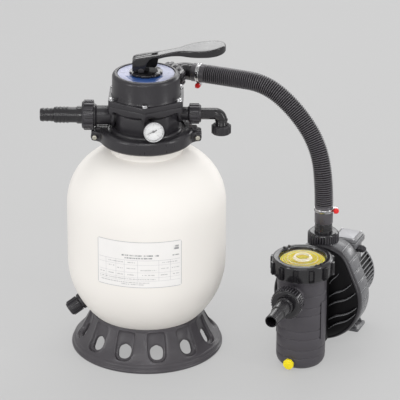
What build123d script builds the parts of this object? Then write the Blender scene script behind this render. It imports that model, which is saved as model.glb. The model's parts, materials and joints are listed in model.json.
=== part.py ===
from build123d import *
import math
import os

os.makedirs("parts", exist_ok=True)

# ---------------------------------------------------------------- driving dimensions (mm)
# Frame: filter tank axis on Z, floor at Z=0, return port along -X, gauge side along -Y.
TANK_R = 200.0
TANK_WALL = 5.0
TANK_LOW_Z = 241.0
TANK_HIGH_Z = 391.0
TANK_CROWN_R = 145.0
NECK_R = 90.0
NECK_BORE_R = 76.0
NECK_FLANGE_R = 105.0
JOINT_Z = 575.0
FLANGE_T = 14.0
EAR_Z = 571.0

STAND_R = 193.2
WINDOWS = 12
WINDOW_PHASE = -79.8
WINDOW_AT = (162.0, 47.0)
WINDOW_LEAN = 31.0

PORT_Z = 622.0
WASTE_Z = 627.0
PUMP_PORT_Z = 668.0
SKEW = 22.0
COVER_R = 84.0
COVER_BASE_Z = 665.0
COVER_TOP_Z = 735.0
LUG_R = 95.0

UNION_STUB_R = 28.0
UNION_TAIL_R = 22.0
UNION_NUT_R = 37.5
PUMP_NUT_R = 39.8
HOSE_BORE_R = 19.0
HOSE_R = 23.4

PIN_X = -12.0
PIN_Z = 744.0

POT_X = 390.6
POT_Y = -110.0
POT_R = 61.8
POT_RIM_Z = 276.0
SUCTION_SIDE = -2.0
SUCTION_Z = 206.0
MOTOR_SIDE = 8.0
MOTOR_Z = 138.0
MOTOR_R = 88.0
SHROUD_R = 118.0
HOUSING_R = 112.0
DISCHARGE_AT = (447.0, 8.0)
DISCHARGE_Z = 292.0

SN = math.sin(math.radians(SKEW))
CS = math.cos(math.radians(SKEW))
BACK = (SN, CS, 0)
RIGHT = (CS, -SN, 0)
UP = (0, 0, 1)


# ---------------------------------------------------------------- shared shapes
def along(origin, direction, distance):
    return tuple(o + distance * c for o, c in zip(origin, direction))


def across(origin, direction, distance=0.0, x_dir=None):
    return Plane(origin=along(origin, direction, distance), x_dir=x_dir, z_dir=direction)


def pump_point(back, right, z):
    return (POT_X + back * SN + right * CS, POT_Y + back * CS - right * SN, z)


def spun(origin, direction, points, mode=Mode.ADD):
    """Turn a closed (distance along the axis, radius) outline round the axis."""
    vertical = abs(direction[2]) > 0.9
    side = (0, -1, 0) if vertical else (-direction[1], direction[0], 0)
    with BuildSketch(Plane(origin=origin, x_dir=direction, z_dir=side)) as outline:
        with BuildLine():
            Polyline(*points, close=True)
        make_face()
    revolve(outline.sketch, axis=Axis(origin, direction), mode=mode)


def rod(plane, radius, length, mode=Mode.ADD):
    with BuildSketch(plane) as disc:
        Circle(radius)
    extrude(disc.sketch, amount=length, mode=mode)


def ring_of_rods(plane, pitch_r, radius, count, length, start=0.0, mode=Mode.ADD):
    with BuildSketch(plane) as discs:
        with PolarLocations(pitch_r, count, start_angle=start):
            Circle(radius)
    extrude(discs.sketch, amount=length, mode=mode)


def ribs(plane, pitch_r, depth, width, count, length, mode=Mode.ADD):
    with BuildSketch(plane) as bars:
        with PolarLocations(pitch_r, count):
            Rectangle(depth, width)
    extrude(bars.sketch, amount=length, mode=mode)


def block(plane, size_x, size_y, height, mode=Mode.ADD):
    with BuildSketch(plane) as base:
        Rectangle(size_x, size_y)
    extrude(base.sketch, amount=height, mode=mode)


def union_nut(origin, direction, nut_r, stub_r, tail_r, count, half=15.0):
    """Captive ribbed nut: a 0.3 mm running gap round the stub, the collar and the tail."""
    base_r = nut_r - 2.5
    spun(
        origin,
        direction,
        [
            (-half, stub_r + 0.3),
            (7.3, stub_r + 0.3),
            (7.3, tail_r + 0.3),
            (half, tail_r + 0.3),
            (half, base_r - 2.5),
            (half - 3.5, base_r),
            (-half, base_r),
        ],
    )
    width = 2 * math.pi * nut_r / count * 0.5
    plane = across(origin, direction, -half + 1)
    ribs(plane, base_r + 0.5, 4.0, width, count, 2 * half - 6)


def tail_outline(collar_r, tail_r, bore_r, steps):
    """Collar held by the union nut, then plain steps (end distance, radius)."""
    points = [(2.0, bore_r), (2.0, collar_r), (7.0, collar_r), (7.0, tail_r)]
    radius = tail_r
    at = 7.0
    for end, step_r in steps:
        if step_r != radius:
            points.append((at, step_r))
        points.append((end, step_r))
        radius = step_r
        at = end
    points.append((at, bore_r))
    return points


# ---------------------------------------------------------------- filter tank and stand
def half_outline(wall, neck):
    """Low dome, straight side and high dome of the tank, set in from the outside by the wall."""
    side = TANK_R - wall
    crown = TANK_CROWN_R - wall
    inset = TANK_R - TANK_CROWN_R
    turn = math.degrees(math.acos((neck - inset) / crown))
    low = CenterArc((0, TANK_LOW_Z), side, start_angle=-90, arc_size=90)
    Line(low @ 1, (side, TANK_HIGH_Z))
    dome = CenterArc((inset, TANK_HIGH_Z), crown, start_angle=0, arc_size=turn)
    return low @ 0, dome @ 1


with BuildSketch(Plane.XZ) as envelope:
    with BuildLine():
        bottom, shoulder = half_outline(0, NECK_R)
        Polyline(shoulder, (NECK_R, JOINT_Z), (0, JOINT_Z), bottom)
    make_face()
tank_outside = revolve(envelope.sketch, axis=Axis.Z, mode=Mode.PRIVATE)

DRAIN_AZ = math.radians(196)
DRAIN_DOWN = math.radians(32)
DRAIN_AXIS = (
    math.cos(DRAIN_AZ) * math.cos(DRAIN_DOWN),
    math.sin(DRAIN_AZ) * math.cos(DRAIN_DOWN),
    -math.sin(DRAIN_DOWN),
)
DRAIN_AT = (168 * math.cos(DRAIN_AZ), 168 * math.sin(DRAIN_AZ), 136.0)

with BuildPart() as tank_shell:
    with BuildSketch(Plane.XZ):
        with BuildLine():
            bottom, shoulder = half_outline(0, NECK_R)
            inner_bottom, inner_shoulder = half_outline(TANK_WALL, NECK_BORE_R)
            Polyline(
                shoulder, (NECK_R, JOINT_Z - FLANGE_T), (NECK_FLANGE_R, JOINT_Z - FLANGE_T),
                (NECK_FLANGE_R, JOINT_Z), (NECK_BORE_R, JOINT_Z), inner_shoulder,
            )
            Line(bottom, inner_bottom)
        make_face()
    revolve(axis=Axis.Z)
    rod(across(DRAIN_AT, DRAIN_AXIS, -30), 12.0, 40, mode=Mode.SUBTRACT)
tank_shell.part.label = "Filter tank shell"
export_step(tank_shell.part, "parts/tank_shell.step")

with BuildPart() as filter_stand:
    spun(
        (0, 0, 0),
        UP,
        [
            (0, 172), (0, STAND_R), (8.5, STAND_R), (11, 189), (17, 188), (24, 180), (40, 166),
            (60, 154), (85, 144.5), (98, 140.7), (92.6, 134.2), (87, 134.2), (81, 140.5),
            (58, 149), (38, 160.5), (22, 174.5), (8, 181), (8, 172),
        ],
    )
    for number in range(WINDOWS):
        angle = math.radians(WINDOW_PHASE + number * 360 / WINDOWS)
        level, rise = math.cos(math.radians(WINDOW_LEAN)), math.sin(math.radians(WINDOW_LEAN))
        facing = (math.cos(angle) * level, math.sin(angle) * level, rise)
        upwards = (-math.cos(angle) * rise, -math.sin(angle) * rise, level)
        middle = (math.cos(angle) * WINDOW_AT[0], math.sin(angle) * WINDOW_AT[0], WINDOW_AT[1])
        with BuildSketch(across(middle, facing, -1.2, x_dir=upwards)) as pocket:
            RectangleRounded(44, 46, 18)
        extrude(pocket.sketch, amount=12, taper=-14, mode=Mode.SUBTRACT)
        with BuildSketch(across(middle, facing, -16, x_dir=upwards)) as window:
            RectangleRounded(36, 34, 14)
        extrude(window.sketch, amount=30, mode=Mode.SUBTRACT)
filter_stand.part.label = "Filter stand"
export_step(filter_stand.part, "parts/filter_stand.step")

with BuildPart() as drain_outlet:
    rod(across(DRAIN_AT, DRAIN_AXIS, -24), 20.0, 34)
    add(tank_outside, mode=Mode.SUBTRACT)
    rod(across(DRAIN_AT, DRAIN_AXIS, -26), 12.0, 40)
    rod(across(DRAIN_AT, DRAIN_AXIS, 9), 14.0, 27)
    rod(across(DRAIN_AT, DRAIN_AXIS, -30), 8.0, 80, mode=Mode.SUBTRACT)
drain_outlet.part.label = "Tank drain outlet"
export_step(drain_outlet.part, "parts/drain_outlet.step")

with BuildPart() as drain_cap:
    spun(
        DRAIN_AT,
        DRAIN_AXIS,
        [(10.3, 14.3), (36.0, 14.3), (36.0, 0), (43, 0), (43, 14), (41, 17.5), (10.3, 17.5)],
    )
    ribs(across(DRAIN_AT, DRAIN_AXIS, 11), 18.0, 4.0, 4.5, 12, 27)
drain_cap.part.label = "Tank drain cap"
export_step(drain_cap.part, "parts/drain_cap.step")

with BuildPart() as standpipe:
    spun(
        (0, 0, 0),
        UP,
        [
            (98, 0), (98, 30), (103, 38), (127, 38), (132, 25), (640, 25), (640, 22),
            (108, 22), (108, 0),
        ],
    )
    for number in range(8):
        angle = math.radians(number * 45)
        outward = (math.cos(angle), math.sin(angle), 0)
        rod(across((0, 0, 115), outward, 15), 6.0, 30, mode=Mode.SUBTRACT)
standpipe.part.label = "Standpipe and lateral hub"
export_step(standpipe.part, "parts/standpipe.step")

with BuildPart() as laterals:
    for number in range(8):
        angle = math.radians(number * 45)
        outward = (math.cos(angle), math.sin(angle), 0)
        outline = [(26, 4), (26, 6), (38.5, 6), (38.5, 9)]
        for slot in range(8):
            start = 46 + slot * 9.5
            outline += [(start, 9), (start, 7), (start + 3, 7), (start + 3, 9)]
        outline += [(126, 9), (128, 7), (128, 0), (124, 0), (124, 4)]
        spun((0, 0, 115), outward, outline)
laterals.part.label = "Laterals"
export_step(laterals.part, "parts/laterals.step")

# ---------------------------------------------------------------- neck clamp
for half_name, half_label, sign in (
    ("clamp_half_front", "Neck clamp front half", -1),
    ("clamp_half_rear", "Neck clamp rear half", 1),
):
    with BuildPart() as clamp_half:
        spun(
            (0, 0, JOINT_Z),
            UP,
            [
                (-18, 96), (-14, 99), (-14, 105), (14, 105), (14, 99), (18, 96),
                (18, 113), (14, 117), (-14, 117), (-18, 113),
            ],
        )
        for side in (-1, 1):
            block(Plane.XY.offset(JOINT_Z - 15).move(Location((side * 126, 0, 0))), 26, 34, 23)
        rod(Plane.XY.offset(JOINT_Z - 14), 105, 28, mode=Mode.SUBTRACT)
        block(Plane.XY.offset(500).move(Location((0, -sign * 148.5, 0))), 400, 300, 150, mode=Mode.SUBTRACT)
        for side in (-1, 1):
            rod(Plane((side * 128, -30, EAR_Z), z_dir=(0, 1, 0)), 4.5, 60, mode=Mode.SUBTRACT)
    clamp_half.part.label = half_label
    export_step(clamp_half.part, "parts/" + half_name + ".step")

with BuildPart() as clamp_bolts:
    for side in (-1, 1):
        origin = (side * 128, 0, EAR_Z)
        rod(across(origin, (0, 1, 0), -17), 4.0, 41)
        rod(across(origin, (0, 1, 0), -19), 7.5, 2)
        with BuildSketch(across(origin, (0, 1, 0), -25)) as head:
            RegularPolygon(6, 6)
        extrude(head.sketch, amount=6)
        with BuildSketch(across(origin, (0, 1, 0), 17)) as nut:
            RegularPolygon(6.5, 6)
        extrude(nut.sketch, amount=6.5)
clamp_bolts.part.label = "Neck clamp bolts"
export_step(clamp_bolts.part, "parts/clamp_bolts.step")

# ---------------------------------------------------------------- multiport valve
WEST = (-1, 0, 0)
EAST = (1, 0, 0)
RETURN_FACE = 144.0
WASTE_FACE = 121.0
PORT_FACE = 160.0
GAUGE_AXIS = (math.sin(math.radians(10)), -math.cos(math.radians(10)), 0)
GAUGE_AT = (0, 0, 624.0)
LEAN = (SN * 54 / 63.81, CS * 54 / 63.81, 34 / 63.81)
LEAN_FROM = (SN * 78, CS * 78, PUMP_PORT_Z - 34)
LEAN_TO = (SN * 132, CS * 132, PUMP_PORT_Z)

with BuildPart() as valve_body:
    rod(Plane.XY.offset(JOINT_Z), NECK_FLANGE_R, FLANGE_T)
    with BuildSketch(Plane.XY.offset(JOINT_Z + FLANGE_T)) as wall:
        Circle(80)
        RegularPolygon(75, 8, major_radius=False, rotation=-4, mode=Mode.INTERSECT)
    extrude(wall.sketch, amount=66)
    rod(Plane.XY.offset(COVER_BASE_Z - 12), 88, 12)
    ring_of_rods(Plane.XY.offset(COVER_BASE_Z - 12), LUG_R, 10, 6, 12, start=-91)
    spun((0, 0, PORT_Z), WEST, [(60, 0), (60, 24), (122, 24), (126, 28), (144, 28), (144, 0)])
    spun((0, 0, WASTE_Z), EAST, [(60, 0), (60, 16.5), (103, 16.5), (106, 19.5), (121, 19.5), (121, 0)])
    rod(across(LEAN_FROM, LEAN, -12), 24, 76)
    with Locations(LEAN_TO):
        Sphere(25.5)
    spun((0, 0, PUMP_PORT_Z), BACK, [(132, 0), (132, 24), (140, 24), (143, 28), (160, 28), (160, 0)])
    rod(across(GAUGE_AT, GAUGE_AXIS, 70), 11, 26)
    rod(Plane.XY.offset(COVER_BASE_Z), 89.5, 60, mode=Mode.SUBTRACT)
    rod(Plane.XY.offset(597), 70, 43, mode=Mode.SUBTRACT)
    rod(Plane.XY.offset(648), 72, 30, mode=Mode.SUBTRACT)
    rod(Plane.XY.offset(597), 30, 43)
    for number in range(3):
        angle = math.radians(number * 120 + 30)
        outward = (math.cos(angle), math.sin(angle), 0)
        block(across((0, 0, 618.5), outward, 28, x_dir=UP), 43, 4, 44)
    ring_of_rods(Plane.XY.offset(638), 48, 13, 6, 20, mode=Mode.SUBTRACT)
    ring_of_rods(Plane.XY.offset(570), 52, 10, 6, 40, start=0, mode=Mode.SUBTRACT)
    rod(Plane.XY.offset(570), 25, 70, mode=Mode.SUBTRACT)
    rod(Plane.XY.offset(639), 18, 20, mode=Mode.SUBTRACT)
    rod(across((0, 0, PORT_Z), WEST, 55), HOSE_BORE_R, 95, mode=Mode.SUBTRACT)
    rod(across((0, 0, WASTE_Z), EAST, 55), 11, 70, mode=Mode.SUBTRACT)
    rod(across(LEAN_FROM, LEAN, -25), 16, 89, mode=Mode.SUBTRACT)
    with Locations(LEAN_TO):
        Sphere(17, mode=Mode.SUBTRACT)
    rod(across((0, 0, PUMP_PORT_Z), BACK, 132), 16, 40, mode=Mode.SUBTRACT)
    rod(across(GAUGE_AT, GAUGE_AXIS, 60), 5, 40, mode=Mode.SUBTRACT)
    ring_of_rods(Plane.XY.offset(655), LUG_R, 3, 6, 20, start=-91, mode=Mode.SUBTRACT)
valve_body.part.label = "Multiport valve body"
export_step(valve_body.part, "parts/valve_body.step")

with BuildPart() as spider_gasket:
    rod(Plane.XY.offset(648), 66, 3)
    ring_of_rods(Plane.XY.offset(648), 48, 14, 6, 3, mode=Mode.SUBTRACT)
    rod(Plane.XY.offset(648), 19, 3, mode=Mode.SUBTRACT)
spider_gasket.part.label = "Spider gasket"
export_step(spider_gasket.part, "parts/spider_gasket.step")

with BuildPart() as valve_rotor:
    rod(Plane.XY.offset(651), 68, 6)
    rod(Plane.XY.offset(657), 24, 15)
    ribs(Plane.XY.offset(657), 40, 50, 4, 6, 6)
    ring_of_rods(Plane.XY.offset(651), 48, 13, 2, 20, start=0, mode=Mode.SUBTRACT)
    rod(Plane.XY.offset(651), 17, 6, mode=Mode.SUBTRACT)
    rod(Plane.XY.offset(660), 9, 20, mode=Mode.SUBTRACT)
valve_rotor.part.label = "Valve rotor"
export_step(valve_rotor.part, "parts/valve_rotor.step")

with BuildPart() as valve_stem:
    rod(Plane.XY.offset(660), 9, 76)
    block(Plane.XY.offset(735).move(Location((-6, 0, 0))), 28, 12, 17)
    rod(Plane((PIN_X, -20, PIN_Z), z_dir=(0, 1, 0)), 3.3, 40, mode=Mode.SUBTRACT)
valve_stem.part.label = "Valve stem"
export_step(valve_stem.part, "parts/valve_stem.step")

with BuildPart() as valve_spring:
    with BuildLine(Plane.XY.offset(673.7)) as coil:
        Helix(pitch=8.9, height=44.5, radius=17)
    with BuildSketch(Plane(coil.line @ 0, z_dir=coil.line % 0)):
        Circle(1.5)
    sweep(path=coil.line, is_frenet=True)
valve_spring.part.label = "Valve spring"
export_step(valve_spring.part, "parts/valve_spring.step")

with BuildPart() as valve_cover:
    rod(Plane.XY.offset(COVER_BASE_Z), COVER_R, COVER_TOP_Z - COVER_BASE_Z)
    fillet(valve_cover.edges().sort_by(Axis.Z)[-1], 8)
    rod(Plane.XY.offset(COVER_BASE_Z), 88, 13)
    ring_of_rods(Plane.XY.offset(COVER_BASE_Z), LUG_R, 10, 6, 13, start=-91)
    rod(Plane.XY.offset(732), 72, 10, mode=Mode.SUBTRACT)
    rod(Plane.XY.offset(732), 19.5, 1.5)
    rod(Plane.XY.offset(COVER_BASE_Z), 77, 55, mode=Mode.SUBTRACT)
    rod(Plane.XY.offset(700), 9.3, 60, mode=Mode.SUBTRACT)
    ring_of_rods(Plane.XY.offset(COVER_BASE_Z), LUG_R, 3.3, 6, 20, start=-91, mode=Mode.SUBTRACT)
valve_cover.part.label = "Valve cover"
export_step(valve_cover.part, "parts/valve_cover.step")

with BuildPart() as cover_screws:
    ring_of_rods(Plane.XY.offset(657), LUG_R, 3, 6, 21, start=-91)
    ring_of_rods(Plane.XY.offset(678), LUG_R, 8, 6, 1.5, start=-91)
    with BuildSketch(Plane.XY.offset(679.5)) as heads:
        with PolarLocations(LUG_R, 6, start_angle=-91):
            RegularPolygon(6.5, 6)
    extrude(heads.sketch, amount=5.5)
cover_screws.part.label = "Cover screws"
export_step(cover_screws.part, "parts/cover_screws.step")

with BuildPart() as index_plate:
    rod(Plane.XY.offset(732), 71.5, 1.5)
    rod(Plane.XY.offset(732), 20, 1.5, mode=Mode.SUBTRACT)
index_plate.part.label = "Position index plate"
export_step(index_plate.part, "parts/index_plate.step")

with BuildPart() as selector_collar:
    rod(Plane.XY.offset(733.9), 41, 7.1)
    ring_of_rods(Plane.XY.offset(733), 43, 4, 8, 20, start=22.5, mode=Mode.SUBTRACT)
    rod(Plane.XY.offset(733), 9.3, 20, mode=Mode.SUBTRACT)
    block(Plane.XY.offset(733).move(Location((-6, 0, 0))), 28.6, 12.6, 20, mode=Mode.SUBTRACT)
selector_collar.part.label = "Selector collar"
export_step(selector_collar.part, "parts/selector_collar.step")

with BuildPart() as handle:
    with BuildSketch(Plane.XZ) as profile:
        with BuildLine():
            Polyline(
                (-34, 741.3), (15, 741.3), (22, 746), (36, 759), (58, 774), (84, 785),
                (102, 789.5), (190, 795), (197, 799), (198, 808), (191, 812), (92, 803),
                (37, 790.5), (0, 784), (-26, 776), (-34, 768),
                close=True,
            )
        make_face()
    extrude(profile.sketch, amount=45, both=True)
    with BuildSketch(Plane.XY.offset(700)) as plan:
        with BuildLine():
            Polyline(
                (-36, -18), (25, -18), (55, -14), (82, -16), (112, -31), (112, 31), (82, 16),
                (55, 14), (25, 18), (-36, 18),
                close=True,
            )
        make_face()
        with Locations((142, 0)):
            Ellipse(56, 37)
    extrude(plan.sketch, amount=150, mode=Mode.INTERSECT)
    block(Plane.XY.offset(730).move(Location((-14, 0, 0))), 56, 12.8, 34, mode=Mode.SUBTRACT)
    rod(Plane((PIN_X, -30, PIN_Z), z_dir=(0, 1, 0)), 3, 60, mode=Mode.SUBTRACT)
handle.part.label = "Selector handle"
export_step(handle.part, "parts/handle.step")

with BuildPart() as handle_pin:
    rod(Plane((PIN_X, -18, PIN_Z), z_dir=(0, 1, 0)), 3, 36)
handle_pin.part.label = "Handle pin"
export_step(handle_pin.part, "parts/handle_pin.step")

# ---------------------------------------------------------------- pressure gauge
with BuildPart() as gauge_case:
    spun(
        GAUGE_AT,
        GAUGE_AXIS,
        [
            (78, 0), (78, 5), (97, 5), (97, 8), (104, 8), (104, 6), (107, 6), (107, 22),
            (109, 24), (119, 24), (119, 25), (125, 25), (125, 22), (123, 22), (123, 21.5),
            (109, 21.5), (109, 2.0), (90, 2.0), (90, 0),
        ],
    )
gauge_case.part.label = "Gauge case and stem"
export_step(gauge_case.part, "parts/gauge_case.step")

with BuildPart() as gauge_dial:
    spun(GAUGE_AT, GAUGE_AXIS, [(115, 2.0), (115, 21.5), (116, 21.5), (116, 2.0)])
gauge_dial.part.label = "Gauge dial"
export_step(gauge_dial.part, "parts/gauge_dial.step")

GAUGE_SIDE = (-GAUGE_AXIS[1], GAUGE_AXIS[0], 0)
NEEDLE_TURN = 204.0
with BuildPart() as gauge_needle:
    spun(GAUGE_AT, GAUGE_AXIS, [(112, 0), (112, 1.5), (116.5, 1.5), (116.5, 3), (119, 3), (119, 0)])
    with BuildSketch(across(GAUGE_AT, GAUGE_AXIS, 117, x_dir=GAUGE_SIDE)) as pointer:
        with BuildLine():
            Polyline((-9, -1.6), (0, -1.2), (17, -0.3), (17, 0.3), (0, 1.2), (-9, 1.6), close=True)
        make_face()
    turned = pointer.sketch.rotate(Axis(GAUGE_AT, GAUGE_AXIS), NEEDLE_TURN)
    extrude(turned, amount=1)
gauge_needle.part.label = "Gauge needle"
export_step(gauge_needle.part, "parts/gauge_needle.step")

with BuildPart() as gauge_lens:
    spun(GAUGE_AT, GAUGE_AXIS, [(121, 0), (121, 21.5), (123, 21.5), (123, 0)])
gauge_lens.part.label = "Gauge lens"
export_step(gauge_lens.part, "parts/gauge_lens.step")

# ---------------------------------------------------------------- unions, tails and waste elbow
RETURN_AT = (-RETURN_FACE, 0, PORT_Z)
WASTE_AT = (WASTE_FACE, 0, WASTE_Z)
PORT_AT = (SN * PORT_FACE, CS * PORT_FACE, PUMP_PORT_Z)
SUCTION_AXIS = (-SN, -CS, 0)
SUCTION_AT = pump_point(-100, SUCTION_SIDE, SUCTION_Z)
DISCHARGE_TOP = (DISCHARGE_AT[0], DISCHARGE_AT[1], DISCHARGE_Z)

with BuildPart() as union_seals:
    for origin, direction in (
        (RETURN_AT, WEST),
        (PORT_AT, BACK),
        (SUCTION_AT, SUCTION_AXIS),
        (DISCHARGE_TOP, UP),
    ):
        spun(origin, direction, [(0, 20), (0, 27), (2, 27), (2, 20)])
union_seals.part.label = "Union face seals"
export_step(union_seals.part, "parts/union_seals.step")

with BuildPart() as return_nut:
    union_nut(RETURN_AT, WEST, UNION_NUT_R, UNION_STUB_R, UNION_TAIL_R, 16)
return_nut.part.label = "Return union nut"
export_step(return_nut.part, "parts/return_nut.step")

with BuildPart() as return_tail:
    spun(
        RETURN_AT,
        WEST,
        tail_outline(28, 22, 13, [(22, 22), (27, 19), (40, 19), (79, 19), (119, 16)]),
    )
    for start in (34, 47, 60):
        spun(RETURN_AT, WEST, [(start, 18), (start, 20), (start + 8, 19), (start + 8, 18)])
return_tail.part.label = "Return hose tail"
export_step(return_tail.part, "parts/return_tail.step")

with BuildPart() as waste_nut:
    union_nut(WASTE_AT, EAST, 25.5, 19.5, 14.5, 14)
waste_nut.part.label = "Waste union nut"
export_step(waste_nut.part, "parts/waste_nut.step")

WASTE_X = 186.0
with BuildPart() as waste_elbow:
    spun(WASTE_AT, EAST, [(0, 11), (0, 19.5), (7, 19.5), (7, 14.5), (49, 14.5), (49, 11)])
    with BuildSketch(across((WASTE_X - 16, 0, WASTE_Z), EAST, 0)) as mouth:
        Circle(14.5)
        Circle(11, mode=Mode.SUBTRACT)
    revolve(mouth.sketch, axis=Axis((WASTE_X - 16, 0, WASTE_Z - 16), (0, 1, 0)), revolution_arc=90)
    spun(
        (WASTE_X, 0, WASTE_Z - 16),
        (0, 0, -1),
        [(0, 11), (0, 14.5), (17, 14.5), (17, 19.5), (23, 19.5), (23, 16), (33, 16), (33, 11)],
    )
waste_elbow.part.label = "Waste elbow"
export_step(waste_elbow.part, "parts/waste_elbow.step")

with BuildPart() as waste_end_nut:
    spun(
        (WASTE_X, 0, WASTE_Z - 16),
        (0, 0, -1),
        [
            (12.5, 14.9), (16.7, 14.9), (16.7, 19.9), (36, 19.9), (36, 23.2), (15, 23.2),
            (12.5, 21),
        ],
    )
    ribs(across((WASTE_X, 0, WASTE_Z - 16), (0, 0, -1), 14), 23, 4.0, 5.5, 12, 20)
waste_end_nut.part.label = "Waste outlet nut"
export_step(waste_end_nut.part, "parts/waste_end_nut.step")

with BuildPart() as port_nut:
    union_nut(PORT_AT, BACK, UNION_NUT_R, UNION_STUB_R, UNION_TAIL_R, 16)
port_nut.part.label = "Pump port union nut"
export_step(port_nut.part, "parts/port_nut.step")

CORNER = (SN * 214, CS * 214, PUMP_PORT_Z)
BEND = 26.0
with BuildPart() as port_elbow:
    spun(PORT_AT, BACK, [(2, 16), (2, 28), (7, 28), (7, 22), (54 - BEND, 22), (54 - BEND, 16)])
    with BuildSketch(across(CORNER, BACK, -BEND)) as mouth:
        Circle(22)
        Circle(16, mode=Mode.SUBTRACT)
    pivot = along(along(CORNER, BACK, -BEND), RIGHT, BEND)
    revolve(mouth.sketch, axis=Axis(pivot, (0, 0, -1)), revolution_arc=90)
    spun(CORNER, RIGHT, [(BEND, 16), (BEND, 22), (37.6, 22), (37.6, 19), (76, 19), (76, 16)])
port_elbow.part.label = "Pump port elbow"
export_step(port_elbow.part, "parts/port_elbow.step")

# ---------------------------------------------------------------- connecting hose
HOSE_START = along(CORNER, RIGHT, 37.6)
HOSE_ROUTE = [
    HOSE_START,
    along(HOSE_START, RIGHT, 105.0),
    (300.0, 108.0, 666.0),
    (376.0, 73.0, 607.0),
    (431.0, 38.5, 527.0),
    (447.0, 8.0, 430.0),
    (447.0, 8.0, 332.0),
]


def bend_radii(route):
    radii = []
    for before, here, after in zip(route, route[1:], route[2:]):
        first = Vector(*here) - Vector(*before)
        second = Vector(*after) - Vector(*here)
        turn = math.radians(first.get_angle(second))
        radii.append(0.45 * min(first.length, second.length) / math.tan(turn / 2))
    return radii


HOSE_RADII = bend_radii(HOSE_ROUTE)
print("hose bend radii", [round(radius, 1) for radius in HOSE_RADII])
with BuildPart() as hose:
    with BuildLine() as route:
        FilletPolyline(*HOSE_ROUTE, radius=HOSE_RADII)
    with BuildSketch(across(HOSE_START, RIGHT)):
        Circle(HOSE_R)
        Circle(HOSE_BORE_R, mode=Mode.SUBTRACT)
    sweep(path=route.wires()[0])
print("hose length", round(route.wires()[0].length, 1))
print("hose volume share", round(
    hose.part.volume
    / (math.pi * (HOSE_R**2 - HOSE_BORE_R**2) * route.wires()[0].length), 4))
hose.part.label = "Connecting hose"
export_step(hose.part, "parts/hose.step")

UPPER_BAND = along(CORNER, RIGHT, 51.0)
BAND = [(0, HOSE_R), (0, HOSE_R + 1.2), (9, HOSE_R + 1.2), (9, HOSE_R)]
SCREW_OUT = HOSE_R + 6.6
LOWER_BAND = (447.0, 8.0, 363.0)
TOWARD = (-SN, -CS, 0)
with BuildPart() as hose_clamp_bands:
    spun(UPPER_BAND, RIGHT, BAND)
    upper_block = along(UPPER_BAND, RIGHT, 4.5)
    block(across(upper_block, (0, 0, -1), HOSE_R + 0.4, x_dir=RIGHT), 9, 14, 11)
    rod(across(UPPER_BAND, RIGHT, -1), HOSE_R, 14, mode=Mode.SUBTRACT)
    upper_screw = along(upper_block, (0, 0, -1), SCREW_OUT)
    rod(across(upper_screw, TOWARD, -20), 3.3, 40, mode=Mode.SUBTRACT)
    spun(LOWER_BAND, UP, BAND)
    lower_block = along(LOWER_BAND, UP, 4.5)
    block(across(lower_block, EAST, HOSE_R + 0.4, x_dir=UP), 9, 14, 11)
    rod(across(LOWER_BAND, UP, -1), HOSE_R, 14, mode=Mode.SUBTRACT)
    lower_screw = along(lower_block, EAST, SCREW_OUT)
    rod(across(lower_screw, (0, -1, 0), -20), 3.3, 40, mode=Mode.SUBTRACT)
hose_clamp_bands.part.label = "Hose clamp bands"
export_step(hose_clamp_bands.part, "parts/hose_clamp_bands.step")

SCREW = [(-12, 0), (-12, 3), (7.3, 3), (7.3, 5.4), (8.5, 6), (16, 6), (17, 5), (17, 0)]
with BuildPart() as hose_screw_upper:
    spun(upper_screw, TOWARD, SCREW)
    block(across(upper_screw, TOWARD, 15), 1.6, 16, 3, mode=Mode.SUBTRACT)
hose_screw_upper.part.label = "Upper hose clamp screw"
export_step(hose_screw_upper.part, "parts/hose_screw_upper.step")

with BuildPart() as hose_screw_lower:
    spun(lower_screw, (0, -1, 0), SCREW)
    block(across(lower_screw, (0, -1, 0), 15), 1.6, 16, 3, mode=Mode.SUBTRACT)
hose_screw_lower.part.label = "Lower hose clamp screw"
export_step(hose_screw_lower.part, "parts/hose_screw_lower.step")

with BuildPart() as discharge_nut:
    union_nut(DISCHARGE_TOP, UP, PUMP_NUT_R, UNION_STUB_R, UNION_TAIL_R, 36, half=16.5)
discharge_nut.part.label = "Discharge union nut"
export_step(discharge_nut.part, "parts/discharge_nut.step")

with BuildPart() as discharge_tail:
    spun(DISCHARGE_TOP, UP, tail_outline(28, 22, 16, [(40, 22), (76, 19)]))
discharge_tail.part.label = "Discharge hose tail"
export_step(discharge_tail.part, "parts/discharge_tail.step")

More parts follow.
